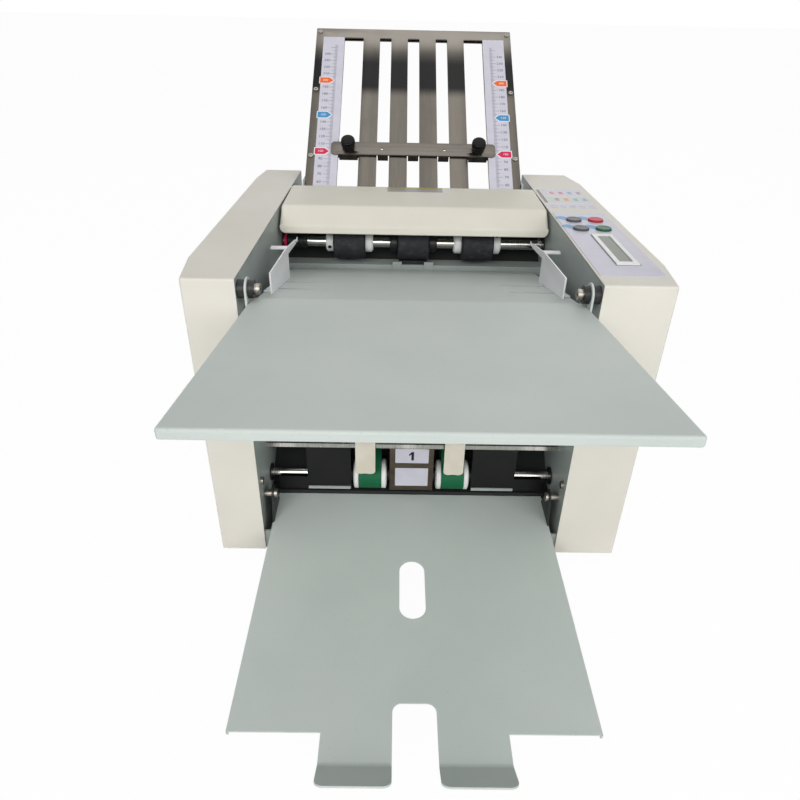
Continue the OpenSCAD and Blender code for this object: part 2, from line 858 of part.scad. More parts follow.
module slotted_channel(y0, y1, s0, s1) {
    for (z = [-sheet, -plate_t]) translate([0, 0, z]) linear_extrude(sheet) difference() {
        translate([-plate_half, y0]) square([plate_w, y1 - y0]);
        slots(s0, s1);
    }
    both_sides() block([plate_half - 5, plate_half], [y0, y1], [-plate_t, 0]);
    block([-plate_half, plate_half], [y1 - 6, y1], [-plate_t, 0]);
}

module upper_fold_plate() {
    color(steel) in_upper_plate() slotted_channel(plate_low, plate_len, slot_low, plate_len - top_bar);
}

module plate_scales() {
    color(white) in_upper_plate() both_sides()
        block([opening_w / 2, opening_w / 2 + scale_w], [2, plate_len - top_bar], [0, scale_t]);
}

module lower_fold_plate() {
    color(steel) in_lower_plate() slotted_channel(0, low_len, low_slot_start, low_slot_end);
}

bracket_t = 2;
bracket_foot_y = [hood_pivot[0] + 12, frame_rear - 8];
bracket_foot_h = 6;
bracket_drop = 30;
low_bracket_y = [60, 80];

module plate_brackets() {
    low = body_top - bracket_drop;
    color(wall_grey) {
        both_sides() {
            // Cheek beside the upper plate, with a foot to the frame
            along_x(plate_half, plate_half + bracket_t) polygon([
                [plate_cross_y - 4, body_top - 12], [plate_cross_y + 12, body_top - 12],
                [bracket_foot_y[0], low], [bracket_foot_y[1], low], [bracket_foot_y[1], low + 14],
                [plate_cross_y + 30, body_top + 6], [plate_cross_y + 4, body_top + 6]]);
            block([plate_half, half], bracket_foot_y, [low, low + bracket_foot_h]);
        }
        in_lower_plate() both_sides() block([plate_half, half], low_bracket_y, [-plate_t, 0]);
    }
}

// A stop bar with a finger in each slot and a clamp plate behind each stud
module stop_bar(length, y, stud_list) {
    z0 = stop_lift;
    difference() {
        union() {
            translate([0, y, z0]) linear_extrude(stop_t) {
                translate([-length / 2 + stop_w / 2, 0]) square([length - stop_w, stop_w]);
                for (s = [-1, 1]) translate([s * (length - stop_w) / 2, stop_w / 2]) circle(stop_w / 2);
            }
            for (i = [0 : 4]) block([slot_x(i) + 1, slot_x(i) + slot_w(i) - 1], [y, y + sheet],
                [-plate_t - 2, z0 + eps]);
            for (x = stud_list) block([x - 14, x + 14], [y + 3, y + stop_w - 2],
                [-plate_t - slide_gap - 2, -plate_t - slide_gap]);
        }
        for (x = stud_list) translate([x, y + stop_w / 2, -20]) cylinder(r = stud_r + shaft_play, h = 40);
    }
}

module knob(x, y) {
    z0 = stop_lift + stop_t + slide_gap;
    translate([x, y + stop_w / 2, 0]) {
        translate([0, 0, -plate_t - 5]) cylinder(r = stud_r, h = plate_t + 5 + z0 + 1);
        translate([0, 0, z0]) {
            cylinder(r = knob_r - 1.2, h = 2);
            difference() {
                translate([0, 0, 2]) cylinder(r = knob_r, h = knob_h - 3);
                for (a = [0 : 20 : 340]) rotate(a) translate([knob_r + 0.3, 0, 1])
                    cylinder(r = 0.6, h = knob_h);
            }
            translate([0, 0, knob_h - 1]) cylinder(r1 = knob_r, r2 = knob_r - 1, h = 1);
        }
    }
}

module upper_stop_bar() {
    color(steel) in_upper_plate() stop_bar(stop_len, stop_at, [-knob_x, knob_x]);
}

module upper_left_knob() {
    color(black) in_upper_plate() knob(-knob_x, stop_at);
}

module upper_right_knob() {
    color(black) in_upper_plate() knob(knob_x, stop_at);
}

module lower_stop_bar() {
    color(steel) in_lower_plate() stop_bar(stop_len, low_stop_at, [0]);
}

module lower_stop_knob() {
    color(black) in_lower_plate() knob(0, low_stop_at);
}

// ---- Output ----

// Outline of one tongue, with rounded front corners, before its tip is bent
module tongue_outline(reach) {
    r = 6;
    translate([-tongue_w / 2, -reach + r]) square([tongue_w, reach - out_len + 2 - r]);
    translate([-tongue_w / 2 + r, -reach]) square([tongue_w - 2 * r, 2 * r]);
    for (c = [-1, 1]) translate([c * (tongue_w / 2 - r), -reach + r]) circle(r);
}

module output_tray() {
    flange = 4;
    notch_y = -(out_len - 20);
    notch_r = 6;
    bend_y = -(out_len + tongue_len);
    tip = [bend_y - tip_len * cos(tip_angle), tip_len * sin(tip_angle)];
    color(grey_green) difference() {
        union() {
            in_output_tray() {
                translate([0, 0, -sheet]) linear_extrude(sheet) difference() {
                    translate([-out_w / 2, -out_len]) square([out_w, out_len]);
                    translate([-notch_w / 2, -out_len - 1])
                        square([notch_w, out_len + 1 + notch_y - notch_r]);
                    translate([-notch_w / 2 + notch_r, notch_y - notch_r - 1])
                        square([notch_w - 2 * notch_r, notch_r + 1]);
                    for (s = [-1, 1]) translate([s * (notch_w / 2 - notch_r), notch_y - notch_r])
                        circle(notch_r);
                    translate([0, -107]) {
                        square([oval_w, oval_len - oval_w], center = true);
                        for (s = [-1, 1]) translate([0, s * (oval_len - oval_w) / 2]) circle(oval_w / 2);
                    }
                }
                // Tongues with their bent tips
                for (s = [-1, 1]) translate([s * (notch_w + tongue_w) / 2, 0, 0]) intersection() {
                    translate([0, 0, -10]) linear_extrude(40) tongue_outline(-tip[0]);
                    along_x(-tongue_w, tongue_w) bent_strip([[-out_len + 1, 0], [bend_y, 0], tip], sheet);
                }
                // Side flanges
                both_sides() block([out_w / 2 - sheet, out_w / 2], [-out_len, -42], [-flange, -sheet / 2]);
            }
            // Ears that hang on the frame's pins
            both_sides() along_x(out_w / 2 - sheet, out_w / 2) {
                translate(out_pin) circle(7);
                polygon([out_pin + [-7, 0], out_pin + [7, 0],
                    [36, out_z(36) - sheet / 3], [4, out_z(4) - sheet / 3]]);
            }
        }
        both_sides() rod(out_pin_r + shaft_play, out_w / 2 - 3, out_w / 2 + 1, out_pin);
    }
}

module exit_chute() {
    below = pulley_r + 0.9;
    a = front_axis + polar(below / cos(belt_slope / 2), belt_slope / 2 - 90);
    b = rear_axis + polar(below + 2, belt_slope - 90);
    lip_y = out_rear[0] + 0.3;
    color(steel) along_x(-half, half) bent_strip([[lip_y, out_rear[1] - 3],
        [lip_y, front_axis[1] - below], a, b, b + [12, 16], b + [20, 36]], -sheet);
}

module label_plate() {
    color([0.33, 0.29, 0.25]) {
        block([-label_half, label_half], [bar_y, bar_y + sheet], [panel_z, bar_z]);
        both_sides() block([label_half - 3, label_half], [bar_y, bar_y + 4], [panel_z, bar_z]);
    }
}

module exit_panels() {
    x0 = belt_x + pulley_w / 2 + 2;
    color(black) both_sides() {
        block([x0, x0 + 39], [bar_y + 1, bar_y + 2.5], [panel_z, bar_z]);
        block([x0 + 39, half - 8.5], [bar_y + 1, bar_y + 2.5], [panel_z, panel_z + 13]);
    }
}

module green_belts() {
    color(green) for (s = [-1, 1]) along_x(s * belt_x - belt_w / 2, s * belt_x + belt_w / 2)
        belt_loop(front_axis, belt_in_r, rear_axis, belt_in_r, belt_t);
}

module pulleys(at) {
    for (s = [-1, 1]) {
        x = s * belt_x;
        sleeve(groove_r, x - pulley_w / 2, x + pulley_w / 2, at, journal_r);
        for (e = [-1, 1]) {
            edge = x + e * (pulley_w + belt_w + 0.6) / 4;
            w = (pulley_w - belt_w - 0.6) / 2;
            sleeve(pulley_r, edge - w / 2, edge + w / 2, at, journal_r);
        }
    }
}

module front_belt_shaft() {
    color(chrome) rod(journal_r, -(frame_out + 2), frame_out + 2, front_axis);
}

module front_pulleys() {
    color(white) pulleys(front_axis);
}

module rear_belt_shaft() {
    color(steel) {
        rod(journal_r, -(frame_out + 13), frame_out + 2, rear_axis);
        pulleys(rear_axis);
        rod(exit_pulley_r, -(frame_out + 12), -(frame_out + 12) + gear_w, rear_axis);
    }
}

module press_arms() {
    front = front_axis[0] - pulley_r - 0.6;
    low = front_axis[1] + arm_low;
    color(chrome) rod(press_rod_r, -(frame_out + 2), frame_out + 2, press_axis);
    color(cream) for (x = [arm_shift - arm_x, arm_shift + arm_x]) {
        // Face in front of the pulley, round at its lower end
        translate([x, front, 0]) rotate([90, 0, 0]) linear_extrude(3) {
            translate([0, low + arm_w / 2]) circle(arm_w / 2);
            translate([-arm_w / 2, low + arm_w / 2]) square([arm_w, press_axis[1] + 4 - low - arm_w / 2]);
        }
        rod(press_rod_r + 2.5, x - arm_w / 2, x + arm_w / 2, press_axis);
        block([x - arm_w / 2, x + arm_w / 2], [front - 1, press_axis[0]],
            [press_axis[1] - 4, press_axis[1] + 4]);
    }
}

// ---- Controls and power ----

module control_membrane() {
    color([0.82, 0.81, 0.87]) difference() {
        block([half + membrane_x[0], half + membrane_x[1]], membrane_y, [body_top, body_top + panel_t]);
        panel_holes(button_r + button_play);
    }
}

// A block round the display's middle, dx and dy inside its frame's outline
module display_block(dx, dy, z) {
    block([display_x - display_w / 2 + dx, display_x + display_w / 2 - dx],
        [display_y - display_len / 2 + dy, display_y + display_len / 2 - dy], z);
}

bezel_top = body_top + panel_t + 1;

module display_bezel() {
    color(white) difference() {
        display_block(0, 0, [body_top + panel_t, bezel_top]);
        display_block(3.5, 5, [body_top, bezel_top + 1]);
    }
}

module display_glass() {
    color([0.5, 0.55, 0.5]) display_block(3.5, 5, [body_top - 4, bezel_top - 0.6]);
}

module control_board() {
    color([0.1, 0.35, 0.2]) {
        block([half + 6.5, half + 48], [28, 167], [board_z, board_z + 1.6]);
        // Posts under the cover's top
        for (x = [half + 10, half + 45], y = [33, 120]) translate([x, y, board_z + 1.6])
            cylinder(r = 2.5, h = frame_top - board_z - 1.6);
    }
    color(black) {
        for (i = [0, 1], j = [0, 1])
            translate([button_x + i * button_dx - 3, button_y + j * button_dy - 3, board_z + 1.6])
                cube([6, 6, switch_h]);
        display_block(0.75, 3.5, [board_z + 1.6, body_top - 4]);
    }
}

module button(i, j, colour) {
    top = body_top + panel_t + button_h;
    color(colour) translate([button_x + i * button_dx, button_y + j * button_dy, 0]) {
        translate([0, 0, frame_top - 0.3]) cylinder(r = button_r, h = top - frame_top - 0.3);
        translate([0, 0, top - 0.6]) cylinder(r1 = button_r, r2 = button_r - 0.8, h = 0.6);
        translate([0, 0, frame_top - 2.3]) cylinder(r = button_r + 1.2, h = 2);
        translate([0, 0, board_z + 1.6 + switch_h + button_travel + 0.2])
            cylinder(r = 2, h = frame_top - 2.3 - (board_z + 1.6 + switch_h + button_travel + 0.2));
    }
}

module button_grey_rear() {
    button(0, 1, [0.4, 0.4, 0.42]);
}

module button_red() {
    button(1, 1, [0.82, 0.1, 0.2]);
}

module button_grey_front() {
    button(0, 0, [0.4, 0.4, 0.42]);
}

module button_green() {
    button(1, 0, [0.05, 0.4, 0.25]);
}

module power_inlet() {
    y1 = body_depth + 1.5;
    color(black) difference() {
        union() {
            block([inlet_x - inlet_w / 2, inlet_x + inlet_w / 2], [body_depth - 20, body_depth],
                [inlet_z - inlet_h / 2, rocker_z + 8]);
            block([inlet_x - inlet_w / 2 - 2, inlet_x + inlet_w / 2 + 2], [body_depth, y1],
                [inlet_z - inlet_h / 2 - 3, rocker_z + 11]);
        }
        block([inlet_x - 12, inlet_x + 12], [body_depth - 14, y1 + 1], [inlet_z - 8, inlet_z + 8]);
        block([inlet_x - 10.2, inlet_x + 10.2], [body_depth - 12, y1 + 1],
            [rocker_z - 6.8, rocker_z + 6.8]);
    }
    color(steel) for (p = [[-7, -2], [7, -2], [0, 3]])
        block([inlet_x + p[0] - 1, inlet_x + p[0] + 1], [body_depth - 14, body_depth - 4],
            [inlet_z + p[1] - 2, inlet_z + p[1] + 2]);
}

module power_rocker() {
    color(black) {
        rod(5, inlet_x - 9.8, inlet_x + 9.8, [body_depth - 5.5, rocker_z]);
        translate([0, body_depth - 5.5, rocker_z]) rotate([10, 0, 0])
            block([inlet_x - 9.8, inlet_x + 9.8], [0, 7], [-5.2, 5.2]);
    }
}

supply_y = [95, 185];
supply_h = 44;
supply_gap = 8;
bracket_h = 4;

// Power supply on its mounting plate, screwed to the left frame
module power_supply() {
    x0 = -(left_out - supply_gap);
    z0 = frame_bottom + 18.5;
    color([0.55, 0.57, 0.58]) {
        block([x0, -frame_out], [supply_y[0] - 5, supply_y[1] + 5], [z0, z0 + bracket_h]);
        block([x0, -(frame_out + 4)], supply_y, [z0 + bracket_h, z0 + bracket_h + supply_h]);
    }
}

// ---- The machine, centred on its outline ----

module place() {
    translate([-mid_x, -mid_y, 0]) children();
}

place() base_pan();
place() left_frame();
place() right_frame();
place() left_cover();
place() right_cover();
place() rear_panel();
place() front_panel();
place() rubber_feet();
place() cross_rods();
place() shaft_bushes();
place() screws();
place() hinge_pins();
place() tray_spacers();
place() separator_bar();
place() separator_pad();
place() infeed_guide();
place() exit_chute();
place() label_plate();
place() exit_panels();
place() green_belts();
place() drive_belts();
place() drive_motor();
place() control_board();
place() control_membrane();
place() display_bezel();
place() display_glass();
place() power_supply();
place() power_inlet();
place() plate_brackets();
place() upper_fold_plate();
place() plate_scales();
place() lower_fold_plate();
place() hood();
place() feed_tray();
place() feed_table();
place() left_side_guide();
place() right_side_guide();
place() feed_shaft();
place() feed_rollers();
place() feed_collars();
place() fold_roller_1();
place() fold_roller_2();
place() fold_roller_3();
place() fold_roller_4();
place() front_belt_shaft();
place() front_pulleys();
place() rear_belt_shaft();
place() motor_pulley();
place() press_arms();
place() output_tray();
place() upper_stop_bar();
place() upper_left_knob();
place() upper_right_knob();
place() lower_stop_bar();
place() lower_stop_knob();
place() button_grey_rear();
place() button_red();
place() button_grey_front();
place() button_green();
place() power_rocker();
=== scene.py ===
import math
import bmesh
import bpy
import numpy as np
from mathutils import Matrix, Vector
from mathutils.geometry import tessellate_polygon


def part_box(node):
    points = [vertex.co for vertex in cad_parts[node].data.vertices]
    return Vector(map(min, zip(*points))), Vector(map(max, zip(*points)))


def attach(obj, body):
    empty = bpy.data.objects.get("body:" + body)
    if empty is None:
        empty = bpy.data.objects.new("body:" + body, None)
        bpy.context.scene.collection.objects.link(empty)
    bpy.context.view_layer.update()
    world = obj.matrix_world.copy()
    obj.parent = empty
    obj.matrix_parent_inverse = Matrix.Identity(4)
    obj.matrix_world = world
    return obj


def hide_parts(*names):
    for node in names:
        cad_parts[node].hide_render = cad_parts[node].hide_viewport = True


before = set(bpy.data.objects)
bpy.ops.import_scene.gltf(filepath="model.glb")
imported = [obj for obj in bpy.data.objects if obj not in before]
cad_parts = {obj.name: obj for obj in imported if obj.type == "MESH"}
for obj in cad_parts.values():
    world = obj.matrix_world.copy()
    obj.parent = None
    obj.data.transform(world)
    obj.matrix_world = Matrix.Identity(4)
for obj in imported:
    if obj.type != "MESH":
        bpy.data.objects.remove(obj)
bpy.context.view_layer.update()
print("frame loaded with", len(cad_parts), "nodes")

# The machine's own zero: the middle between its side frames, the front plane of its covers, the table
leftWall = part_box("left_frame")[1][0]
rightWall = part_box("right_frame")[0][0]
machineZero = np.array([(leftWall + rightWall) / 2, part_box("left_cover")[0][1], 0.0])
halfGap = (rightWall - leftWall) * 500  # half the clear width between the frames, in mm
# Parts drawn flat: the (y, z) of their own zero, and their slope in radians
slopes = {"upperPlate": ((270, 260), math.radians(37.2)), "lowerPlate": ((269.40, 210.07), math.radians(-58)),
          "outputTray": ((41.7, 39.1), math.radians(3.2))}


def place(points):
    # machine millimetres become the shared frame's metres
    return np.asarray(points, float) * 0.001 + machineZero


def tilted(points, origin, turn):
    # a point turned about x by an angle, then moved to an origin in the (y, z) plane
    points = np.asarray(points, float)
    y, z = points[..., 1], points[..., 2]
    return np.stack([points[..., 0], origin[0] + y * math.cos(turn) - z * math.sin(turn),
                     origin[1] + y * math.sin(turn) + z * math.cos(turn)], -1)


def laid(part, where):
    # a part drawn flat goes to its place on one of the slopes
    points, faces = part
    return tilted(points, *slopes[where]), faces


def gridFaces(rows, columns, wrapRows=False, wrapColumns=False):
    # four-sided faces between neighbouring rows and columns of a grid of points
    i = np.arange(rows if wrapRows else rows - 1)[:, None]
    j = np.arange(columns if wrapColumns else columns - 1)[None, :]
    nextI, nextJ = (i + 1) % rows, (j + 1) % columns
    quads = np.stack(np.broadcast_arrays(i * columns + j, i * columns + nextJ,
                                         nextI * columns + nextJ, nextI * columns + j), -1)
    return quads.reshape(-1, 4).tolist()


def rounded(corners, radius, steps=6, closed=False):
    # each corner becomes an arc that touches both of its sides
    corners = np.asarray(corners, float)
    radii = np.broadcast_to(np.asarray(radius, float), len(corners))
    path = []
    for k, here in enumerate(corners):
        if radii[k] <= 0 or (not closed and k in (0, len(corners) - 1)):
            path.append(here[None])
            continue
        toLast = corners[k - 1] - here
        toNext = corners[(k + 1) % len(corners)] - here
        toLast, toNext = toLast / np.linalg.norm(toLast), toNext / np.linalg.norm(toNext)
        halfAngle = math.acos(np.clip(toLast @ toNext, -1, 1)) / 2
        bisector = (toLast + toNext) / np.linalg.norm(toLast + toNext)
        middle = here + bisector * radii[k] / math.sin(halfAngle)
        reach = radii[k] / math.tan(halfAngle)
        a, b = here + toLast * reach - middle, here + toNext * reach - middle
        turn = np.linspace(0, math.atan2(a[0] * b[1] - a[1] * b[0], a @ b), steps + 1)
        path.append(middle + np.stack([a[0] * np.cos(turn) - a[1] * np.sin(turn),
                                       a[0] * np.sin(turn) + a[1] * np.cos(turn)], -1))
    return np.concatenate(path)


def inset(path, distance, closed=True):
    # every side of a path moves to its left by a distance, and the corners stay mitred
    before, after = np.roll(path, 1, 0), np.roll(path, -1, 0)
    if not closed:
        before[0] = 2 * path[0] - path[1]
        after[-1] = 2 * path[-1] - path[-2]
    u, v = path - before, after - path
    u /= np.linalg.norm(u, axis=1, keepdims=True)
    v /= np.linalg.norm(v, axis=1, keepdims=True)
    left, right = np.stack([-u[:, 1], u[:, 0]], -1), np.stack([-v[:, 1], v[:, 0]], -1)
    return path + distance * (left + right) / (1 + np.sum(left * right, 1, keepdims=True))


def circle(x, y, radius, steps=48, inward=True):
    # a round loop; a hole runs clockwise, so that its left side is the sheet
    angle = np.linspace(0, 2 * math.pi, steps, endpoint=False) * (-1 if inward else 1)
    return np.stack([x + radius * np.cos(angle), y + radius * np.sin(angle)], -1)


def box(x0, x1, y0, y1, radius=0.0, hole=False, steps=5):
    corners = [(x0, y0), (x1, y0), (x1, y1), (x0, y1)]
    return rounded(corners[::-1] if hole else corners, radius, steps, closed=True)


def fill(loops):
    # triangles over a flat outline with holes, numbered through the loops in order
    return [list(face) for face in tessellate_polygon([[Vector((*p, 0)) for p in loop] for loop in loops])]


def slab(loops, low, high, edge=0.3, steps=2):
    # a flat plate: each rim is a row of offsets and heights carried round its loop, and both faces are filled
    turn = np.linspace(0, math.pi / 2, steps + 1)
    inwards = edge * (1 - np.sin(turn))
    rim = [(i, low + edge * (1 - math.cos(t))) for i, t in zip(inwards, turn)]
    rim += [(i, high - edge * (1 - math.cos(t))) for i, t in zip(inwards[::-1], turn[::-1])]
    rows = [np.concatenate([inset(loop, i) for loop in loops]) for i, _ in rim]
    count = len(rows[0])
    points = np.concatenate([np.column_stack([row, np.full(count, z)]) for row, (_, z) in zip(rows, rim)])
    faces, first = [], 0
    for loop in loops:
        ring = np.array(gridFaces(len(rim), len(loop), wrapColumns=True))
        faces += (ring // len(loop) * count + first + ring % len(loop)).tolist()
        first += len(loop)
    caps = np.array(fill([inset(loop, edge) for loop in loops]))
    faces += caps[:, ::-1].tolist() + (caps + count * (len(rim) - 1)).tolist()
    return points, faces


def raised(path, rows):
    # an open outline carried up through rows of an inset and a height
    points = np.concatenate([np.column_stack([inset(path, i, closed=False), np.full(len(path), z)])
                             for i, z in rows])
    return points, gridFaces(len(rows), len(path))


def lid(loops, height):
    # a flat outline with holes, filled at one height
    flat = np.concatenate(loops)
    return np.column_stack([flat, np.full(len(flat), height)]), fill(loops)


def bendRows(bend, top, turn):
    # the insets and heights of a quarter round of radius bend below a flat top
    return [(bend * (1 - math.cos(t)), top - bend * (1 - math.sin(t))) for t in turn]


def tipRun(total, corner, count):
    # places along a strip that grow closer towards its round tip
    return total - corner * (1 - np.sin(np.linspace(0, math.pi / 2, count)))


def tipWidth(run, total, half, corner):
    # half the width of a strip whose tip closes in two quarter rounds
    left = np.clip(total - run, 0, corner)
    return half - corner + np.sqrt(corner ** 2 - (corner - left) ** 2)


def turned(profile, centre, axis="x", segments=64, ripple=None):
    # a profile of (along, radius) carried round an axis; ripple adds to the radius by angle and place
    profile = np.asarray(profile, float)
    angle = np.linspace(0, 2 * math.pi, segments, endpoint=False)[None, :]
    along, radius = profile[:, :1] + 0 * angle, profile[:, 1:] + 0 * angle
    if ripple is not None:
        radius = radius + ripple(along, angle)
    a, b = radius * np.cos(angle), radius * np.sin(angle)
    parts = {"x": (along, a, b), "z": (a, b, along)}[axis]
    points = np.stack(parts, -1).reshape(-1, 3) + np.asarray(centre, float)
    return points, gridFaces(len(profile), segments, wrapColumns=True)


def joined(*parts):
    # several sets of points and faces as one
    points, faces, first = [], [], 0
    for somePoints, someFaces in parts:
        points.append(np.asarray(somePoints, float))
        faces += [[k + first for k in face] for face in someFaces]
        first += len(somePoints)
    return np.concatenate(points), faces


def mirrored(part):
    points, faces = part
    return points * np.array([-1, 1, 1]), [face[::-1] for face in faces]


def make(name, part, body, paint, nodes=(), slot=None, wall=0, edge=0, angle=32, even=True, offset=-1,
         rings=2):
    # one finished piece: doubles merged, faces outwards, wall and small edges given, smooth between edges
    points, faces = part
    mesh = bpy.data.meshes.new(name)
    mesh.from_pydata(place(points).tolist(), [], faces)
    work = bmesh.new()
    work.from_mesh(mesh)
    bmesh.ops.remove_doubles(work, verts=work.verts, dist=2e-6)
    bmesh.ops.dissolve_degenerate(work, edges=work.edges, dist=1e-7)
    bmesh.ops.recalc_face_normals(work, faces=work.faces)
    if wall and offset:
        top = max(work.faces, key=lambda face: face.calc_center_median().z)
        if top.normal.z < 0:
            bmesh.ops.reverse_faces(work, faces=work.faces)
    work.to_mesh(mesh)
    work.free()
    mesh.shade_smooth()
    mesh.set_sharp_from_angle(angle=math.radians(angle))
    piece = bpy.data.objects.new(name, mesh)
    bpy.context.scene.collection.objects.link(piece)
    mesh.materials.append(finish[paint])
    if wall:
        shell = piece.modifiers.new("wall", "SOLIDIFY")
        shell.thickness, shell.offset, shell.use_even_offset = wall * 0.001, offset, even
    if edge:
        bevel = piece.modifiers.new("edges", "BEVEL")
        bevel.width, bevel.segments, bevel.limit_method = edge * 0.001, rings, "ANGLE"
        bevel.angle_limit = math.radians(40)
    if wall or edge:
        piece.modifiers.new("evenNormals", "WEIGHTED_NORMAL").keep_sharp = True
    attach(piece, body)
    if nodes:
        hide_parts(*nodes)


class Wire:
    # one output of a node, so that sums of wires read as plain expressions
    def __init__(self, tree, socket):
        self.tree, self.socket = tree, socket

    def maths(self, operation, *values):
        return self.tree.node("ShaderNodeMath", {"operation": operation}, values)

    def __add__(self, other):
        return self.maths("ADD", self, other)

    def __sub__(self, other):
        return self.maths("SUBTRACT", self, other)

    def __rsub__(self, other):
        return self.maths("SUBTRACT", other, self)

    def __mul__(self, other):
        return self.maths("MULTIPLY", self, other)

    def __truediv__(self, other):
        return self.maths("DIVIDE", self, other)

    def __rtruediv__(self, other):
        return self.maths("DIVIDE", other, self)

    __radd__, __rmul__ = __add__, __mul__

    def between(self, low, high, start=0.0, end=1.0):
        # a soft step from start to end while the value goes from low to high
        return self.tree.node("ShaderNodeMapRange", {"interpolation_type": "SMOOTHSTEP"},
                              {"Value": self, "From Min": low, "From Max": high,
                               "To Min": start, "To Max": end})

    def wave(self, length):
        # a sine that comes back after each length
        return self.maths("SINE", self * (2 * math.pi / length))


def tint(red, green, blue):
    # a colour as seen on a screen, 0 to 255, as linear light
    return tuple(((c / 255 + 0.055) / 1.055) ** 2.4 if c > 10 else c / 255 / 12.92
                 for c in (red, green, blue)) + (1.0,)


def shaded(colour, factor):
    # linear light made darker by a factor
    return tuple(c * factor for c in colour[:3]) + (1.0,)


class Tree:
    # the nodes of a material or world: each is made, set and joined in one call
    def __init__(self, owner):
        owner.use_nodes = True
        self.nodes, self.links = owner.node_tree.nodes, owner.node_tree.links
        self.nodes.clear()

    def node(self, kind, settings=None, values=(), output=0):
        made = self.nodes.new(kind)
        for key, value in (settings or {}).items():
            setattr(made, key, value)
        for key, value in values.items() if isinstance(values, dict) else enumerate(values):
            self.join(value, made.inputs[key])
        return Wire(self, made.outputs[output]) if made.outputs else None

    def join(self, value, socket):
        if isinstance(value, Wire):
            self.links.new(value.socket, socket)
        else:
            socket.default_value = value


class Paint(Tree):
    # one material, painted in machine millimetres read from Object coordinates
    def __init__(self, name, **fixed):
        self.material = bpy.data.materials.new(name)
        super().__init__(self.material)
        self.shader = self.nodes.new("ShaderNodeBsdfPrincipled")
        self.node("ShaderNodeOutputMaterial", None, [Wire(self, self.shader.outputs[0])])
        metres = self.node("ShaderNodeTexCoord", output="Object")
        self.spot = self.mapped(metres, (1000, 1000, 1000), tuple(-machineZero * 1000))
        self.surface(**fixed)

    def surface(self, **values):
        for key, value in values.items():
            self.join(value, self.shader.inputs[key.replace("_", " ")])

    def mapped(self, spot, scale, location=(0, 0, 0)):
        return self.node("ShaderNodeMapping", None, {"Vector": spot, "Location": location, "Scale": scale})

    def noise(self, size, detail=2, roughness=0.5, stretch=(1, 1, 1)):
        # noise whose grains are about size millimetres wide, stretched along an axis by its factor
        spot = self.mapped(self.spot, tuple(1 / s for s in stretch))
        return self.node("ShaderNodeTexNoise", None, {"Vector": spot, "Scale": 1 / size, "Detail": detail,
                                                      "Roughness": roughness})

    def axis(self, which):
        return self.node("ShaderNodeSeparateXYZ", None, [self.spot], which)

    def mix(self, factor, first, second):
        return self.node("ShaderNodeMix", {"data_type": "RGBA"}, {0: factor, 6: first, 7: second}, 2)

    def finished(self, colour, roughness, height=None, depth=0.0):
        # the height, from 0 to 1, stands for a depth in millimetres
        self.surface(Base_Color=colour, Roughness=roughness)
        if height:
            self.surface(Normal=self.node("ShaderNodeBump", None, {"Height": height, "Strength": 1.0,
                                                                   "Distance": depth * 0.001}))
        return self.material


def powderCoat(name, colour, shade, roughness=0.42, grain=1.1, depth=0.012):
    # baked powder paint: a fine orange-peel skin, faint cloudiness, and dust that dulls it here and there
    paint = Paint(name, Specular_IOR_Level=0.28)
    cloud = paint.noise(90, 3)
    colourNow = paint.mix(cloud.between(0.3, 0.7), colour, shade)
    speck = paint.noise(1.6, 1).between(0.66, 0.74)
    return paint.finished(paint.mix(speck * 0.06, colourNow, tint(90, 86, 78)),
                          paint.noise(35, 2) * 0.12 + (roughness - 0.06),
                          paint.noise(grain, 1) + paint.noise(grain * 4, 1) * 0.5, depth)


def brushedSteel(name, light, dark, along=(1, 60, 1), roughness=0.27, metal=1.0, shadeBand=False):
    # cold-rolled sheet: hair-fine streaks along one direction, slow bands, and a few smudges
    paint = Paint(name, Metallic=metal)
    streak = paint.noise(0.5, 2, 0.6, along)
    band = paint.noise(28, 2, 0.5, along)
    colour = paint.mix((streak * 0.35 + band * 0.65).between(0.34, 0.66), dark, light)
    if shadeBand:
        # painted shade: a dark band towards the upper end, then a painted highlight that makes it bright
        # again at the end bar
        y = paint.axis(1)
        tone = y.between(370, 384) * 0.93 - y.between(410, 440) * 0.93
        colour = paint.mix(tone, colour, tint(24, 25, 27))
        colour = paint.mix(y.between(424, 444) * 0.7, colour, tint(138, 133, 127))
    smudge = paint.noise(22, 3).between(0.5, 0.75)
    return paint.finished(colour, streak * 0.14 + smudge * 0.1 + (roughness - 0.07), streak, 0.004)


def turnedSteel(name, light, dark, roughness=0.16):
    # ground shafts and rods: fine rings round their length, with a thin film of oil
    paint = Paint(name, Metallic=1.0)
    ring = paint.noise(0.35, 2, 0.6, (1, 40, 40))
    film = paint.noise(14, 2).between(0.45, 0.7)
    return paint.finished(paint.mix(ring.between(0.3, 0.7), dark, light),
                          ring * 0.1 + film * 0.12 + (roughness - 0.05), ring, 0.003)


def moulded(name, colour, shade, roughness=0.4, grain=0.35, depth=0.006, coat=0.0, shine=0.35):
    # moulded plastic: fine spark-eroded grain and a slight change of tone
    paint = Paint(name, Specular_IOR_Level=shine, Coat_Weight=coat, Coat_Roughness=0.12)
    return paint.finished(paint.mix(paint.noise(18, 3).between(0.3, 0.7), colour, shade),
                          paint.noise(9, 2) * 0.14 + (roughness - 0.07), paint.noise(grain, 1), depth)


def rubber(name, colour, shade, ribs=0.0, roughness=0.72):
    # ground rubber: matt, dusty, with fine ribs along the roller where asked for
    paint = Paint(name, Specular_IOR_Level=0.35)
    dust = paint.noise(6, 4, 0.6).between(0.45, 0.8)
    height = paint.noise(0.3, 2)
    if ribs:
        height = height * 0.4 + paint.axis(0).wave(ribs) * 0.5
    return paint.finished(paint.mix(dust * 0.5, colour, shade),
                          paint.noise(2.5, 2) * 0.16 + (roughness - 0.08), height, 0.03)


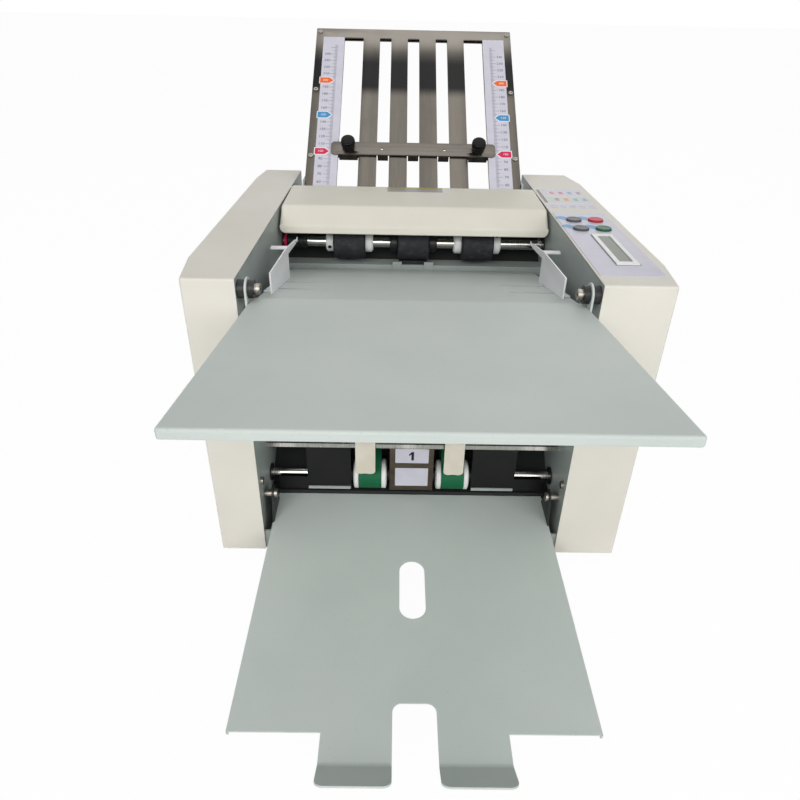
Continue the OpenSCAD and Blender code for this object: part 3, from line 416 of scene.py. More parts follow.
finish = {
    "cover": powderCoat("coverPaint", tint(225, 221, 211), tint(219, 215, 204), 0.5),
    "hood": powderCoat("hoodPaint", tint(224, 221, 208), tint(218, 214, 200), 0.5),
    "tray": powderCoat("trayPaint", tint(200, 207, 202), tint(194, 202, 197), 0.46, 0.8, 0.008),
    "wall": powderCoat("framePaint", tint(166, 174, 170), tint(152, 160, 156), 0.45, 0.8, 0.008),
    # the fold plate's steel carries the painted shade band and the painted highlight at its end bar
    "steel": brushedSteel("foldPlateSteel", tint(108, 103, 96), tint(89, 85, 78), (1, 60, 60),
                          shadeBand=True),
    "barSteel": brushedSteel("stopBarSteel", tint(114, 109, 103), tint(98, 93, 87), (60, 1, 1), 0.3),
    "sheetSteel": brushedSteel("guideSteel", tint(244, 244, 246), tint(228, 228, 231), (1, 40, 1), 0.45,
                               metal=0.1),
    "chrome": turnedSteel("groundShaft", tint(226, 224, 220), tint(176, 172, 166)),
    "roller": turnedSteel("rollerSteel", tint(176, 176, 174), tint(110, 110, 110), 0.24),
    "rubber": rubber("rollerRubber", tint(34, 34, 38), tint(74, 74, 78), 0.9),
    "foot": rubber("footRubber", tint(30, 30, 31), tint(62, 62, 62)),
    "blackPlastic": moulded("blackPlastic", tint(26, 26, 28), tint(36, 36, 38), 0.42),
    "knob": moulded("knobPlastic", tint(8, 8, 9), tint(14, 14, 15), 0.24, 0.6, 0.003, shine=0.13),
    "whitePlastic": moulded("whitePlastic", tint(232, 232, 230), tint(222, 222, 219), 0.38, coat=0.1),
    "creamPlastic": moulded("creamPlastic", tint(226, 219, 204), tint(216, 208, 191), 0.4, coat=0.1),
    # near-black painted shade for parts that sit in shade: below the feed rollers, inside the delivery
    # opening, beside the output tray's pivots
    "inner": powderCoat("shadeBlackPaint", tint(44, 45, 46), tint(36, 37, 38), 0.4, 0.8, 0.008),
    "motor": powderCoat("motorPaint", tint(44, 45, 48), tint(34, 35, 38), 0.5, 1.4, 0.02),
    "supply": brushedSteel("supplyCase", tint(170, 172, 174), tint(146, 148, 150), (1, 1, 1), 0.45),
    "driveBelt": rubber("driveBeltRubber", tint(24, 24, 25), tint(48, 48, 48), 1.5, 0.6),
    "darkPanel": moulded("darkPanel", tint(16, 15, 15), tint(12, 12, 12), 0.4, 0.5, 0.004),
    "screwSteel": turnedSteel("screwSteel", tint(176, 170, 162), tint(128, 122, 114), 0.3),
    "labelMetal": brushedSteel("labelMetal", tint(120, 108, 96), tint(74, 64, 56), (30, 1, 1), 0.35),
}


def wovenBelt():
    # the belts' fabric face: two crossing rows of threads pressed into green rubber
    paint = Paint("greenBelt", Specular_IOR_Level=0.3)
    thread = paint.axis(0).wave(0.7) * (paint.axis(1) + paint.axis(2)).wave(0.9)
    worn = paint.noise(7, 3, 0.6).between(0.45, 0.8)
    base = paint.mix(thread.between(-0.6, 0.6), tint(3, 84, 50), tint(8, 104, 66))
    return paint.finished(paint.mix(worn * 0.2, base, tint(30, 120, 84)), worn * 0.1 + 0.55,
                          thread * 0.5 + 0.5, 0.05)


def printedBoard():
    # solder mask over copper tracks: thin lighter lines on a green board
    paint = Paint("circuitBoard", Coat_Weight=0.4, Coat_Roughness=0.15)
    tracks = paint.node("ShaderNodeTexBrick", {"offset": 0.5, "squash": 1.6},
                        {"Vector": paint.spot, "Color1": tint(20, 84, 50), "Color2": tint(16, 74, 44),
                         "Mortar": tint(46, 122, 76), "Scale": 0.12, "Mortar Size": 0.05})
    return paint.finished(tracks, paint.noise(6, 2) * 0.1 + 0.3, paint.noise(1.2, 1), 0.01)


def glossyPrint(name, colour):
    # printed film: an even ink under a lightly grained surface
    paint = Paint(name, Specular_IOR_Level=0.25)
    ink = paint.noise(12, 2).between(0.2, 0.8)
    return paint.finished(paint.mix(ink, colour, shaded(colour, 0.93)), paint.noise(3, 2) * 0.1 + 0.29,
                          paint.noise(0.4, 1), 0.003)


def displayPane():
    # liquid crystal cell behind glass: grey-green, with faint dot rows
    paint = Paint("displayPane", Specular_IOR_Level=0.2)
    cells = paint.node("ShaderNodeTexBrick", {"offset": 0.0},
                       {"Vector": paint.spot, "Color1": tint(126, 129, 122), "Color2": tint(122, 125, 118),
                        "Mortar": tint(134, 137, 129), "Scale": 0.25, "Mortar Size": 0.04})
    return paint.finished(cells, paint.noise(9, 2) * 0.06 + 0.32)


finish["belt"] = wovenBelt()
finish["board"] = printedBoard()
finish["display"] = displayPane()
inks = {
    "film": (201, 199, 212), "ruler": (211, 209, 220), "label": (208, 206, 217), "inkBlack": (34, 34, 38),
    "inkGrey": (98, 98, 108), "inkBlue": (64, 148, 198), "inkOrange": (240, 104, 34), "inkRed": (214, 34, 84),
    "inkWhite": (240, 240, 242), "inkPlum": (132, 92, 120), "inkNavy": (62, 62, 84), "inkDark": (78, 78, 80),
    "inkSoft": (196, 200, 196), "inkOlive": (166, 152, 84), "inkSilver": (158, 159, 160)}
for inkName, ink in inks.items():
    finish[inkName] = glossyPrint(inkName, tint(*ink))
caps = {"buttonGrey": (76, 76, 82), "buttonRed": (180, 22, 50), "buttonGreen": (10, 84, 52)}
for capName, ink in caps.items():
    finish[capName] = moulded(capName, tint(*ink), shaded(tint(*ink), 0.85), 0.42, 0.5, 0.004)
print("materials ready:", len(finish))

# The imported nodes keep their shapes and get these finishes
nodeFinish = {
    "wall": ["base_pan", "left_frame", "right_frame", "rear_panel", "separator_bar", "plate_brackets"],
    "tray": ["front_panel", "feed_table"],
    "steel": ["lower_fold_plate"],
    "barSteel": ["lower_stop_bar"],
    # painted shade: the infeed guide and exit chute are near-black because they sit in shade
    "inner": ["infeed_guide", "exit_chute"],
    "sheetSteel": ["left_side_guide", "right_side_guide"],
    "chrome": ["cross_rods", "feed_shaft", "front_belt_shaft"],
    "screwSteel": ["hinge_pins", "screws"],
    "roller": ["fold_roller_1", "fold_roller_2", "fold_roller_3", "fold_roller_4", "rear_belt_shaft",
               "motor_pulley"],
    "foot": ["rubber_feet", "separator_pad"],
    "blackPlastic": ["tray_spacers", "power_inlet", "power_rocker", "shaft_bushes"],
    "knob": ["lower_stop_knob"],
    "whitePlastic": ["display_bezel"],
    "driveBelt": ["drive_belts"],
    "belt": ["green_belts"],
    "motor": ["drive_motor"],
    "supply": ["power_supply"],
    "board": ["control_board"],
    "display": ["display_glass"],
    "film": ["control_membrane"],
    "darkPanel": ["exit_panels"],
    "labelMetal": ["label_plate"],
}
for finishName, nodes in nodeFinish.items():
    for node in nodes:
        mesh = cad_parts[node].data
        mesh.materials.clear()
        mesh.materials.append(finish[finishName])
print("packed nodes finished")

panel = {"columns": (143, 162.6), "rows": (134, 161), "hole": 7.1, "window": (150.55, 162.05, 46.5, 113.5),
         "inkTop": 260.39}
cover = {"top": 260, "bottom": 10, "sheet": 1.2, "bend": 1.7, "corner": 2.1, "depth": 353, "shoulder": 45,
         "right": (57.5, 5.5, 8), "left": (44, 6, 3.5), "inlet": (135.8, 163.2, 59.8, 112.2)}


def coverShell(width, frontTaper, rearTaper, holes, rearHole=None):
    # the plan outline is carried up, turned in over a quarter round, and closed by the flat top
    outer = halfGap + width
    corners = [(halfGap, 0), (outer - frontTaper, 0), (outer, cover["shoulder"]),
               (outer, cover["depth"] - cover["shoulder"]), (outer - rearTaper, cover["depth"]),
               (halfGap, cover["depth"])]
    path = rounded(corners, cover["corner"])
    levels = [cover["bottom"], cover["top"] - cover["bend"]]
    if rearHole:
        x0, x1, z0, z1 = rearHole
        path = np.concatenate([path[:-1], [(x1, cover["depth"]), (x0, cover["depth"])], path[-1:]])
        levels = [cover["bottom"], z0, z1, cover["top"] - cover["bend"]]
    turn = np.linspace(0, math.pi / 2, 7)[1:]
    points, faces = raised(path, [(0, z) for z in levels] + bendRows(cover["bend"], cover["top"], turn))
    if rearHole:
        del faces[1 * (len(path) - 1) + len(path) - 3]
    return joined((points, faces), lid([inset(path, cover["bend"], closed=False)] + holes, cover["top"]))


panelHoles = [circle(x, y, panel["hole"]) for x in panel["columns"] for y in panel["rows"]]
panelHoles.append(box(*panel["window"], hole=True))
rightShell = coverShell(*cover["right"], panelHoles)
leftShell = mirrored(coverShell(*cover["left"], [], cover["inlet"]))
make("rightCover", rightShell, "body", "cover", ["right_cover"], "cover_paint", wall=cover["sheet"])
make("leftCover", leftShell, "body", "cover", ["left_cover"], "cover_paint", wall=cover["sheet"])
print("covers ready")

hood = {"half": 125.0, "round": 3.2, "sheet": 1.2, "lipCorner": 6.0, "lipTop": 247.0,
        "lipLow": 240.0, "top": 262.0, "front": 192.0, "rise": 2 / 70, "cheekLow": 245.0, "cheekHigh": 251.0,
        "cheekStep": 212.3, "pin": (280, 250)}


def hoodShell():
    # a bent profile carried across; its ends turn down over a quarter round and run on as cheeks, and the
    # width draws in below the visor along a circle, so that the lip's corners are round
    corners = [(262, 259.5), (262, 264), (hood["front"], hood["top"]), (175, hood["lipTop"]),
               (174, hood["lipLow"]), (176.5, hood["lipLow"] - 0.2)]
    profile = rounded(corners, [0, 1.6, 6, 5, 1.0, 0], 8)
    lip = np.linspace(profile[-11], profile[-10], 14)[1:-1]
    profile = np.concatenate([profile[:-10], lip, profile[-10:]])
    steps = np.gradient(profile, axis=0)
    steps /= np.linalg.norm(steps, axis=1, keepdims=True)
    normal = np.stack([steps[:, 1], -steps[:, 0]], -1)
    turn = np.linspace(0, math.pi / 2, 9)
    across = np.concatenate([np.linspace(0, hood["half"] - hood["round"], 9)[:-1],
                             hood["half"] - hood["round"] + hood["round"] * np.sin(turn)])
    down = np.concatenate([np.zeros(8), hood["round"] * (1 - np.cos(turn))])
    drop = np.clip(hood["lipLow"] + hood["lipCorner"] - profile[:, 1], 0, hood["lipCorner"] - 0.05)
    below = np.where(profile[:, 0] < 180, drop, 0)
    narrow = hood["lipCorner"] - np.sqrt(hood["lipCorner"] ** 2 - below ** 2)
    folded = np.clip((profile[:, 1] - hood["lipTop"]) / 2.5, 0, 1)[:, None]
    x = across[None, :] * (1 - narrow[:, None] / hood["half"])
    y = profile[:, :1] - normal[:, :1] * down[None, :] * folded
    z = profile[:, 1:] - normal[:, 1:] * down[None, :] * folded
    side = np.stack([x, y, z], -1)
    # the cheeks' lower edge: low beside the feed rollers, higher behind them
    endY, endZ = y[:, -1], z[:, -1]
    low = np.clip(hood["cheekLow"] + endY - hood["cheekStep"], hood["cheekLow"], hood["cheekHigh"])
    low = np.where(endY < 185, hood["lipTop"] - 0.2 * np.clip(endY - 175, 0, 10), low)
    low = np.minimum(low, endZ)
    cheek = np.stack([x[:, -1], endY, low], -1)[:, None]
    half = np.concatenate([side, cheek], 1)
    whole = np.concatenate([half[:, ::-1] * np.array([-1, 1, 1]), half[:, 1:]], 1)
    rows, columns = whole.shape[:2]
    return whole.reshape(-1, 3), gridFaces(rows, columns)


make("hoodShell", hoodShell(), "hood", "hood", ["hood"], "cover_paint", wall=hood["sheet"], even=False)


def earPlate(loops, x0, x1, edge=0.25):
    # a plate drawn in (y, z), standing between two x values
    points, faces = slab(loops, x0, x1, edge)
    return points[:, [2, 0, 1]], faces


def bothSides(part):
    return joined(part, mirrored(part))


earLoop = rounded([(259, 251.2), (274, 251), (274.5, 245.2), (285.5, 245.2), (286, 256), (262, 259.5)],
                  [0.4, 1.5, 5, 5, 5, 0.4], 6, closed=True)
ear = earPlate([earLoop, circle(*hood["pin"], 2.55, 32)], 123.85, 124.95)
make("hoodEars", bothSides(ear), "hood", "hood", slot="cover_paint")
# The blank sticker at the hood's rear edge: an olive strip over a grey field
for stickerName, front, rear, ink in (("hoodStickerField", 243, 254.2, "inkSilver"),
                                      ("hoodStickerStrip", 254.2, 260, "inkOlive")):
    points, faces = slab([box(-26.5, 29.5, front, rear, 0.3)], 0.02, 0.12, 0.02, 1)
    points[:, 2] += hood["top"] + (points[:, 1] - hood["front"]) * hood["rise"]
    make(stickerName, (points, faces), "hood", ink, slot="label_metal")
print("hood ready")

feedTray = {"half": 120.0, "front": -190.0, "rear": 14.0, "edge": 6.0, "bend": 1.7, "corner": 2.1,
            "sheet": 1.2, "fall": math.tan(math.radians(6.5)), "pivot": (8, 250), "ear": 8.5}


def feedTrayShell():
    # the outline is turned down over a quarter round on three sides, and the flat top falls to the rear
    half, bend = feedTray["half"], feedTray["bend"]
    path = rounded([(-half, feedTray["rear"]), (-half, feedTray["front"]), (half, feedTray["front"]),
                    (half, feedTray["rear"])], feedTray["corner"], 6)
    turn = np.linspace(0, math.pi / 2, 7)
    rows = [(0.9, -feedTray["edge"]), (0.25, -feedTray["edge"] + 0.25), (0, -feedTray["edge"] + 0.9)]
    rows += bendRows(bend, 0, turn)
    points, faces = joined(raised(path, rows), lid([inset(path, bend, closed=False)], 0))
    points[:, 2] += 241.5 - (points[:, 1] - 8) * feedTray["fall"]
    return points, faces



make("feedTrayPan", feedTrayShell(), "feed_tray", "tray", ["feed_tray"], "tray_paint",
     wall=feedTray["sheet"])
trayEar = rounded([(-0.5, 250), (-0.5, 236.5), (16.5, 234.6), (16.5, 250)], 0.4, 3)
angle = np.linspace(0, math.pi, 25)[1:-1]
trayEarTop = np.array(feedTray["pivot"]) + feedTray["ear"] * np.stack([np.cos(angle), np.sin(angle)], -1)
ear = earPlate([np.concatenate([trayEar, trayEarTop]), circle(*feedTray["pivot"], 2.6, 32)], 120.0, 121.5)
make("feedTrayEars", bothSides(ear), "feed_tray", "tray", slot="tray_paint")
print("feed tray ready")

outTray = {"half": 120.0, "length": 221.0, "notch": 14.5, "tongue": 45.5, "straight": 20.0, "tip": 22.0,
           "bend": 35.0, "bendRadius": 7.0, "sheet": 1.2, "corner": 6.0, "cut": 20.0, "grip": (10, 79, 135),
           "pin": (16, 60)}


def tongueGrid(middle):
    # a straight run, an arc and a straight tip as one path; the width draws in round the front corners
    half, radius = outTray["tongue"] / 2, outTray["bendRadius"]
    bend = math.radians(outTray["bend"])
    reach = radius * math.tan(bend / 2)
    straight, arc, tip = outTray["straight"] - reach, radius * bend, outTray["tip"] - reach
    corner, columns = outTray["corner"], 15
    total = straight + arc + tip
    run = np.unique(np.concatenate([
        np.linspace(0, straight, 4), np.linspace(straight, straight + arc, 9),
        np.linspace(straight + arc, total - corner, 4),
        tipRun(total, corner, 9)]))
    turn = np.clip((run - straight) / radius, 0, bend)
    after = np.clip(run - straight - arc, 0, None)
    y = -outTray["length"] - np.minimum(run, straight) - radius * np.sin(turn) - after * math.cos(bend)
    z = radius * (1 - np.cos(turn)) + after * math.sin(bend)
    width = tipWidth(run, total, half, corner)
    x = middle + width[:, None] * np.linspace(-1, 1, columns)[None, :]
    points = np.stack([x, y[:, None] + 0 * x, z[:, None] + 0 * x], -1)
    return points.reshape(-1, 3), gridFaces(len(run), columns)


def outputTrayShell():
    # the flat sheet with its notch and grip slot, joined to the two tongues
    half, length, notch = outTray["half"], outTray["length"], outTray["notch"]
    wide, deep = notch + outTray["tongue"], outTray["cut"] - length
    root = np.column_stack([np.linspace(-wide, -notch, 15), np.full(15, -length)])
    notchPath = rounded([(-notch, -length), (-notch, deep), (notch, deep), (notch, -length)], 6, 8)
    loop = np.concatenate([[(half, 0), (-half, 0), (-half, -length)], root, notchPath[1:-1],
                           root[::-1] * np.array([-1, 1]), [(half, -length)]])
    x, y0, y1 = outTray["grip"]
    grip = rounded([(-x, -y1), (-x, -y0), (x, -y0), (x, -y1)], 9.99, 12, closed=True)
    middle = notch + outTray["tongue"] / 2
    return joined(lid([loop, grip], 0), tongueGrid(-middle), tongueGrid(middle))


make("outputTrayTop", laid(outputTrayShell(), "outputTray"), "output_tray", "tray", ["output_tray"],
     "tray_paint", wall=outTray["sheet"], edge=0.25)
inner = outTray["half"] - outTray["sheet"]
flangeLoop = rounded([(-221, -4), (-221, -0.4), (-42, -0.4), (-42, -4)], [0, 0, 1.5, 1.5], 4, closed=True)
flange = earPlate([flangeLoop], inner, outTray["half"] - 0.02, 0.2)
pinEar = np.concatenate([[(36, 38.2)], circle(*outTray["pin"], 7, 48, inward=False)[0:25], [(4, 36.4)]])
pinPlate = earPlate([pinEar, circle(*outTray["pin"], 3.05, 32)], inner, outTray["half"])
make("outputTrayFlanges", laid(bothSides(flange), "outputTray"), "output_tray", "tray", slot="tray_paint")
# the pivot ears are near-black as painted shade of the gap beside the wall
make("outputTrayEars", bothSides(pinPlate), "output_tray", "inner", slot="tray_paint")
print("output tray ready")

plate = {"half": 113.5, "low": -22.0, "high": 232.0, "slotLow": -8.0, "slotHigh": 217.7, "thick": 5.0,
         "sheet": 1.2, "outer": 22.0, "inner": 13.3, "slat": 19.2}
opening = 2 * plate["outer"] + 4 * plate["slat"] + 3 * plate["inner"]
slotEnds = []
slotStart = -opening / 2
for slotWidth in (plate["outer"], plate["inner"], plate["inner"], plate["inner"], plate["outer"]):
    slotEnds.append((slotStart, slotStart + slotWidth))
    slotStart += slotWidth + plate["slat"]


def foldPlate():
    # two slotted sheets with the channel for the paper between them, closed at the sides and the upper end
    outline = box(-plate["half"], plate["half"], plate["low"], plate["high"], 1.2)
    holes = [box(a, b, plate["slotLow"], plate["slotHigh"], 0.8, hole=True) for a, b in slotEnds]
    sheets = [slab([outline] + holes, z, z + plate["sheet"], 0.25)
              for z in (-plate["sheet"], -plate["thick"])]
    inside = (-plate["thick"] + plate["sheet"] - 0.05, -plate["sheet"] + 0.05)
    half, high = plate["half"], plate["high"]
    side = slab([box(half - 5, half - 0.3, plate["low"] + 0.5, high - 0.4)], *inside, 0.1)
    end = slab([box(-half + 5.1, half - 5.1, high - 6, high - 0.4)], *inside, 0.1)
    return laid(joined(*sheets, bothSides(side), end), "upperPlate")


make("upperPlateSheets", foldPlate(), "body", "steel", ["upper_fold_plate"], "stainless")


strip = slab([box(opening / 2, opening / 2 + 24.5, 2, plate["slotHigh"], 0.6)], 0, 0.4, 0.1, 1)
make("scaleStrips", laid(bothSides(strip), "upperPlate"), "body", "ruler", ["plate_scales"], "white_plastic")


def flatShapes(loops, height, thickness=0.05):
    # thin printed shapes: each outline is filled and given an ink's thickness
    return joined(*[slab([np.asarray(loop, float)], height, height + thickness, 0.01, 1) for loop in loops])


def written(words, size, x, y, height):
    # plain numbers as flat meshes: the words' own outline filled and centred on a point
    curve = bpy.data.curves.new("number", "FONT")
    curve.body, curve.size, curve.resolution_u = words, size, 3
    curve.align_x, curve.align_y = "CENTER", "CENTER"
    holder = bpy.data.objects.new("number", curve)
    mesh = holder.to_mesh()
    points = np.array([v.co for v in mesh.vertices])
    faces = [list(p.vertices) for p in mesh.polygons]
    holder.to_mesh_clear()
    bpy.data.objects.remove(holder)
    bpy.data.curves.remove(curve)
    return points * (1, 1, 0) + (x, y, height), faces


scale = {"zeroAt": -53.8, "unit": 1.0178, "first": 57, "last": 254, "inkTop": 0.42, "numberSize": 4.6,
         "numberAt": 18.6, "tickAt": 7.4}
pointers = {"scalePointerUpper": (200, "inkOrange"), "scalePointerMiddle": (150, "inkBlue"),
            "scalePointerLower": (100, "inkRed")}


def scaleMarks():
    # ticks every 2 units, longer at fives and tens; numbers every ten, except where a pointer stands
    ticks, numbers = [], []
    inner = opening / 2 + scale["tickAt"]
    for value in range(scale["first"], scale["last"] + 1):
        y = value * scale["unit"] + scale["zeroAt"]
        reach = 7.2 if value % 10 == 0 else 4.6 if value % 5 == 0 else 3.0
        wide = 0.16 if value % 5 == 0 else 0.1
        ticks.append(box(inner, inner + reach, y - wide, y + wide))
        if value % 10 == 0 and 60 <= value <= 240 and value not in (100, 150, 200):
            numbers += [written(str(value), scale["numberSize"], side * (opening / 2 + scale["numberAt"]), y,
                                scale["inkTop"] + 0.03) for side in (-1, 1)]
    marks = flatShapes(ticks, scale["inkTop"] - 0.02)
    return laid(joined(bothSides(marks), *numbers), "upperPlate")


make("scaleMarks", scaleMarks(), "body", "inkNavy", slot="white_plastic")

pointer = np.array([(25.0, -4.1), (14.6, -4.1), (9.8, 0), (14.6, 4.1), (25.0, 4.1)])
for pointerName, (value, ink) in pointers.items():
    spot = value * scale["unit"] + scale["zeroAt"]
    shape = pointer[::-1] + np.array([opening / 2, spot])
    digits = [written(str(value), 4.0, side * (opening / 2 + 18.9), spot, 0.56) for side in (-1, 1)]
    rim, tag = flatShapes([inset(shape, -0.9)], 0.4, 0.06), flatShapes([shape], scale["inkTop"], 0.1)
    for ending, part, paint in (("Edge", bothSides(rim), "inkWhite"), ("", bothSides(tag), ink),
                                ("Number", joined(*digits), "inkWhite")):
        make(pointerName + ending, laid(part, "upperPlate"), "body", paint, slot="white_plastic")
print("fold plate and scales ready")

stopBar = {"half": 88.05, "y": 42.9, "wide": 17.3, "low": 0.6, "thick": 1.5, "knobX": 69.35, "knobHole": 2.6,
           "holes": (-33.5, 33.5), "lowerY": 100}


def stopBarSheet():
    # the bar's rounded outline with two small round holes, and the bent-down fingers in each slot
    y0, y1 = stopBar["y"], stopBar["y"] + stopBar["wide"]
    outline = box(-stopBar["half"], stopBar["half"], y0, y1, 4.0)
    holes = [circle(x, y0 + 8.2, 1.3, 24) for x in stopBar["holes"]]
    middle = y0 + stopBar["wide"] / 2
    holes += [circle(x, middle, stopBar["knobHole"], 32) for x in (-stopBar["knobX"], stopBar["knobX"])]
    sheet = slab([outline] + holes, stopBar["low"], stopBar["low"] + stopBar["thick"], 0.3)
    parts = [sheet]
    for a, b in slotEnds:
        points, faces = slab([box(a + 1, b - 1, -7, stopBar["low"] + 0.4, 0.6)], y0 + 0.05, y0 + 1.25, 0.25)
        parts.append((points[:, [0, 2, 1]], [face[::-1] for face in faces]))
    clamp = slab([box(stopBar["knobX"] - 14, stopBar["knobX"] + 14, y0 + 3, y1 - 2, 2),
                  circle(stopBar["knobX"], middle, stopBar["knobHole"], 32)], -7.2, -5.2, 0.3)
    return laid(joined(*parts, bothSides(clamp)), "upperPlate")


make("upperStopSheet", stopBarSheet(), "upper_stop_bar", "barSteel", ["upper_stop_bar"], "stainless")

knob = {"radius": 7.5, "height": 12.0, "base": 2.3, "flutes": 24}


def knobShape(x, y):
    # a turned profile whose skirt is fluted by a cosine and whose cap is a low dome
    h, r = knob["height"], knob["radius"]
    skirt = rounded([(0, 0), (0, r - 1.5), (3.2, r - 1.4), (4.4, r - 0.2), (h - 3.4, r), (h - 2.9, r - 0.55),
                     (h - 2.5, r), (h, r - 0.4), (h, 0)], [0, 0.6, 0.8, 0.8, 0.3, 0.2, 0.4, 1.8, 0], 4)
    profile = np.concatenate([skirt[:-1], [(h + 0.25, r * 0.4), (h + 0.3, 0)]])

    def flute(along, angle):
        inSkirt = np.clip((along - 3.6) / 0.8, 0, 1) * np.clip((h - 3.5 - along) / 0.5, 0, 1)
        return -0.42 * inSkirt * (0.5 + 0.5 * np.cos(knob["flutes"] * angle)) ** 2

    body = turned(profile, (x, y, knob["base"]), "z", 144, flute)
    stud = turned([(-10, 0), (-10, 2.1), (-9.6, 2.5), (3, 2.5), (3, 0)], (x, y, 0), "z", 32)
    return joined(body, stud)


middle = stopBar["wide"] / 2
for name, node, x, y, where in (
        ("upperLeftKnob", "upper_left_knob", -stopBar["knobX"], stopBar["y"] + middle, "upperPlate"),
        ("upperRightKnob", "upper_right_knob", stopBar["knobX"], stopBar["y"] + middle, "upperPlate"),
        ("lowerStopKnob", "lower_stop_knob", 0, stopBar["lowerY"] + middle, "lowerPlate")):
    make(name, laid(knobShape(x, y), where), node, "knob", [node], "black_plastic", angle=40)
print("stop bars and knobs ready")

feed = {"axis": (200.30, 225.0), "radius": 16.0, "length": 30.5, "pitch": 62.0, "bore": 5.0,
        "collar": 7.5, "screws": {-81: 107, -43: 215, 43: 300, 81: 20}}


def wheel(corners, radii, x, axis, bore, segments=72):
    # a closed ring: the profile's outside, its two faces, and its bore
    ring = rounded([(corners[0][0], bore)] + corners + [(corners[-1][0], bore)], [0] + radii + [0], 5)
    profile = np.concatenate([ring, ring[:1]])
    return turned(profile, (x, axis[0], axis[1]), "x", segments)


half, radius = feed["length"] / 2, feed["radius"]
tyre = [(-half, 14.2), (-half + 1.2, radius), (half - 1.2, radius), (half, 14.2)]
rollers = [wheel(tyre, [0.6, 1.2, 1.2, 0.6], i * feed["pitch"], feed["axis"], feed["bore"], 96)
           for i in (-1, 0, 1)]
make("feedRollerTyres", joined(*rollers), "feed_roller", "rubber", ["feed_rollers"], "black_rubber")


def collar(x, radius, flip):
    # a ring with a step on its far side
    half = feed["collar"] / 2
    corners = [(-half, radius), (2.6, radius), (2.9, radius - 1.4), (half, radius - 1.4)]
    radii = [0.7, 0.3, 0.3, 0.4]
    if flip:
        corners, radii = [(-a, b) for a, b in corners[::-1]], radii[::-1]
    return wheel(corners, radii, x, feed["axis"], feed["bore"], 56)


offset = (feed["length"] + feed["collar"]) / 2
whiteCollars = [collar(i * feed["pitch"] + s * offset, 9.5, s < 0) for i in (-1, 1) for s in (-1, 1)]
blackCollars = [collar(s * offset, 8.5, s < 0) for s in (-1, 1)]
make("whiteCollars", joined(*whiteCollars), "feed_roller", "whitePlastic", ["feed_collars"], "white_plastic")
make("blackCollars", joined(*blackCollars), "feed_roller", "blackPlastic", slot="white_plastic")
setScrews = []
for x, degrees in feed["screws"].items():
    points, faces = slab([circle(x, 0, 1.8, 24, inward=False)], 9.2, 9.6, 0.1)
    setScrews.append((tilted(points, feed["axis"], math.radians(degrees)), faces))
make("collarScrews", joined(*setScrews), "feed_roller", "blackPlastic", slot="white_plastic")

pulley = {"places": (-37, 37), "axis": (50, 57), "bore": 4.0, "rim": 13.5, "groove": 11.9, "half": 15,
          "spacers": ((-57, -52.1), (-21.9, -17), (17, 21.9), (52.1, 57))}



def beltPulley(x):
    # two rims with rounded edges and a groove between them, where the belt runs
    half, rim, groove = pulley["half"], pulley["rim"], pulley["groove"]
    right = [(10.3, groove), (10.4, rim), (half - 1, rim), (half, 10.2)]
    radii = [0.05, 0.3, 1.3, 0.8]
    left = [(-a, b) for a, b in right[::-1]]
    return wheel(left + right, radii[::-1] + radii, x, pulley["axis"], pulley["bore"])


def sleeve(low, high, radius, bore, axis):
    return wheel([(low, radius), (high, radius)], [0.4, 0.4], 0, axis, bore, 48)


wheels = [beltPulley(x) for x in pulley["places"]]
make("frontPulleyWheels", joined(*wheels), "front_belt_shaft", "whitePlastic", ["front_pulleys"],
     "white_plastic")
spacers = [sleeve(*ends, 6.2, pulley["bore"], pulley["axis"]) for ends in pulley["spacers"]]
make("beltShaftSpacers", joined(*spacers), "front_belt_shaft", "blackPlastic", slot="white_plastic")
rings = [sleeve(-122.6 + 3.9 * k, -119.2 + 3.9 * k, 6.4, feed["bore"], feed["axis"]) for k in range(5)]
core = sleeve(-122.8, -102.9, 5.8, feed["bore"], feed["axis"])
make("feedShaftSleeve", joined(core, *rings), "feed_roller", "blackPlastic", slot="white_plastic")
redRing = sleeve(-125.4, -122.9, 6.8, feed["bore"], feed["axis"])
make("feedShaftRing", redRing, "feed_roller", "inkRed", slot="white_plastic")
print("rollers and pulleys ready")

pressArm = {"centres": (-40.6, 36.6), "half": 8.5, "corner": 2.6, "low": 70.0, "axis": (40, 104),
            "rod": 3, "columns": 17}


def pressArmShape(x):
    # a hooked strip: its path falls in front of the pulley, and its width closes to a round end
    corner, columns = pressArm["corner"], pressArm["columns"]
    path = rounded([(50, 107), (34.3, 107), (34.3, 96), (34.0, pressArm["low"])], [0, 5, 10, 0], 8)
    length = np.concatenate([[0], np.cumsum(np.linalg.norm(np.diff(path, axis=0), axis=1))])
    total = length[-1]
    grid = np.unique(np.concatenate([np.linspace(0, total - corner, 26), tipRun(total, corner, 12)]))
    y, z = np.interp(grid, length, path[:, 0]), np.interp(grid, length, path[:, 1])
    width = tipWidth(grid, total, pressArm["half"], corner)
    spots = np.linspace(-1, 1, columns)
    across = x + width[:, None] * spots[None, :]
    crown = 0.5 * (1 - spots ** 2)[None, :]
    points = np.stack([across, y[:, None] - crown, z[:, None] + 0 * across], -1)
    return points.reshape(-1, 3), gridFaces(len(grid), columns)


def onRodAxis(profile, x=0):
    return turned(profile, (x, *pressArm["axis"]), "x", 40)


def pressHub(x):
    half = pressArm["half"]
    profile = rounded([(-half, 3.02), (-half, 5.6), (half, 5.6), (half, 3.02)], [0, 0.8, 0.8, 0], 4)
    return onRodAxis(np.concatenate([profile, profile[:1]]), x)


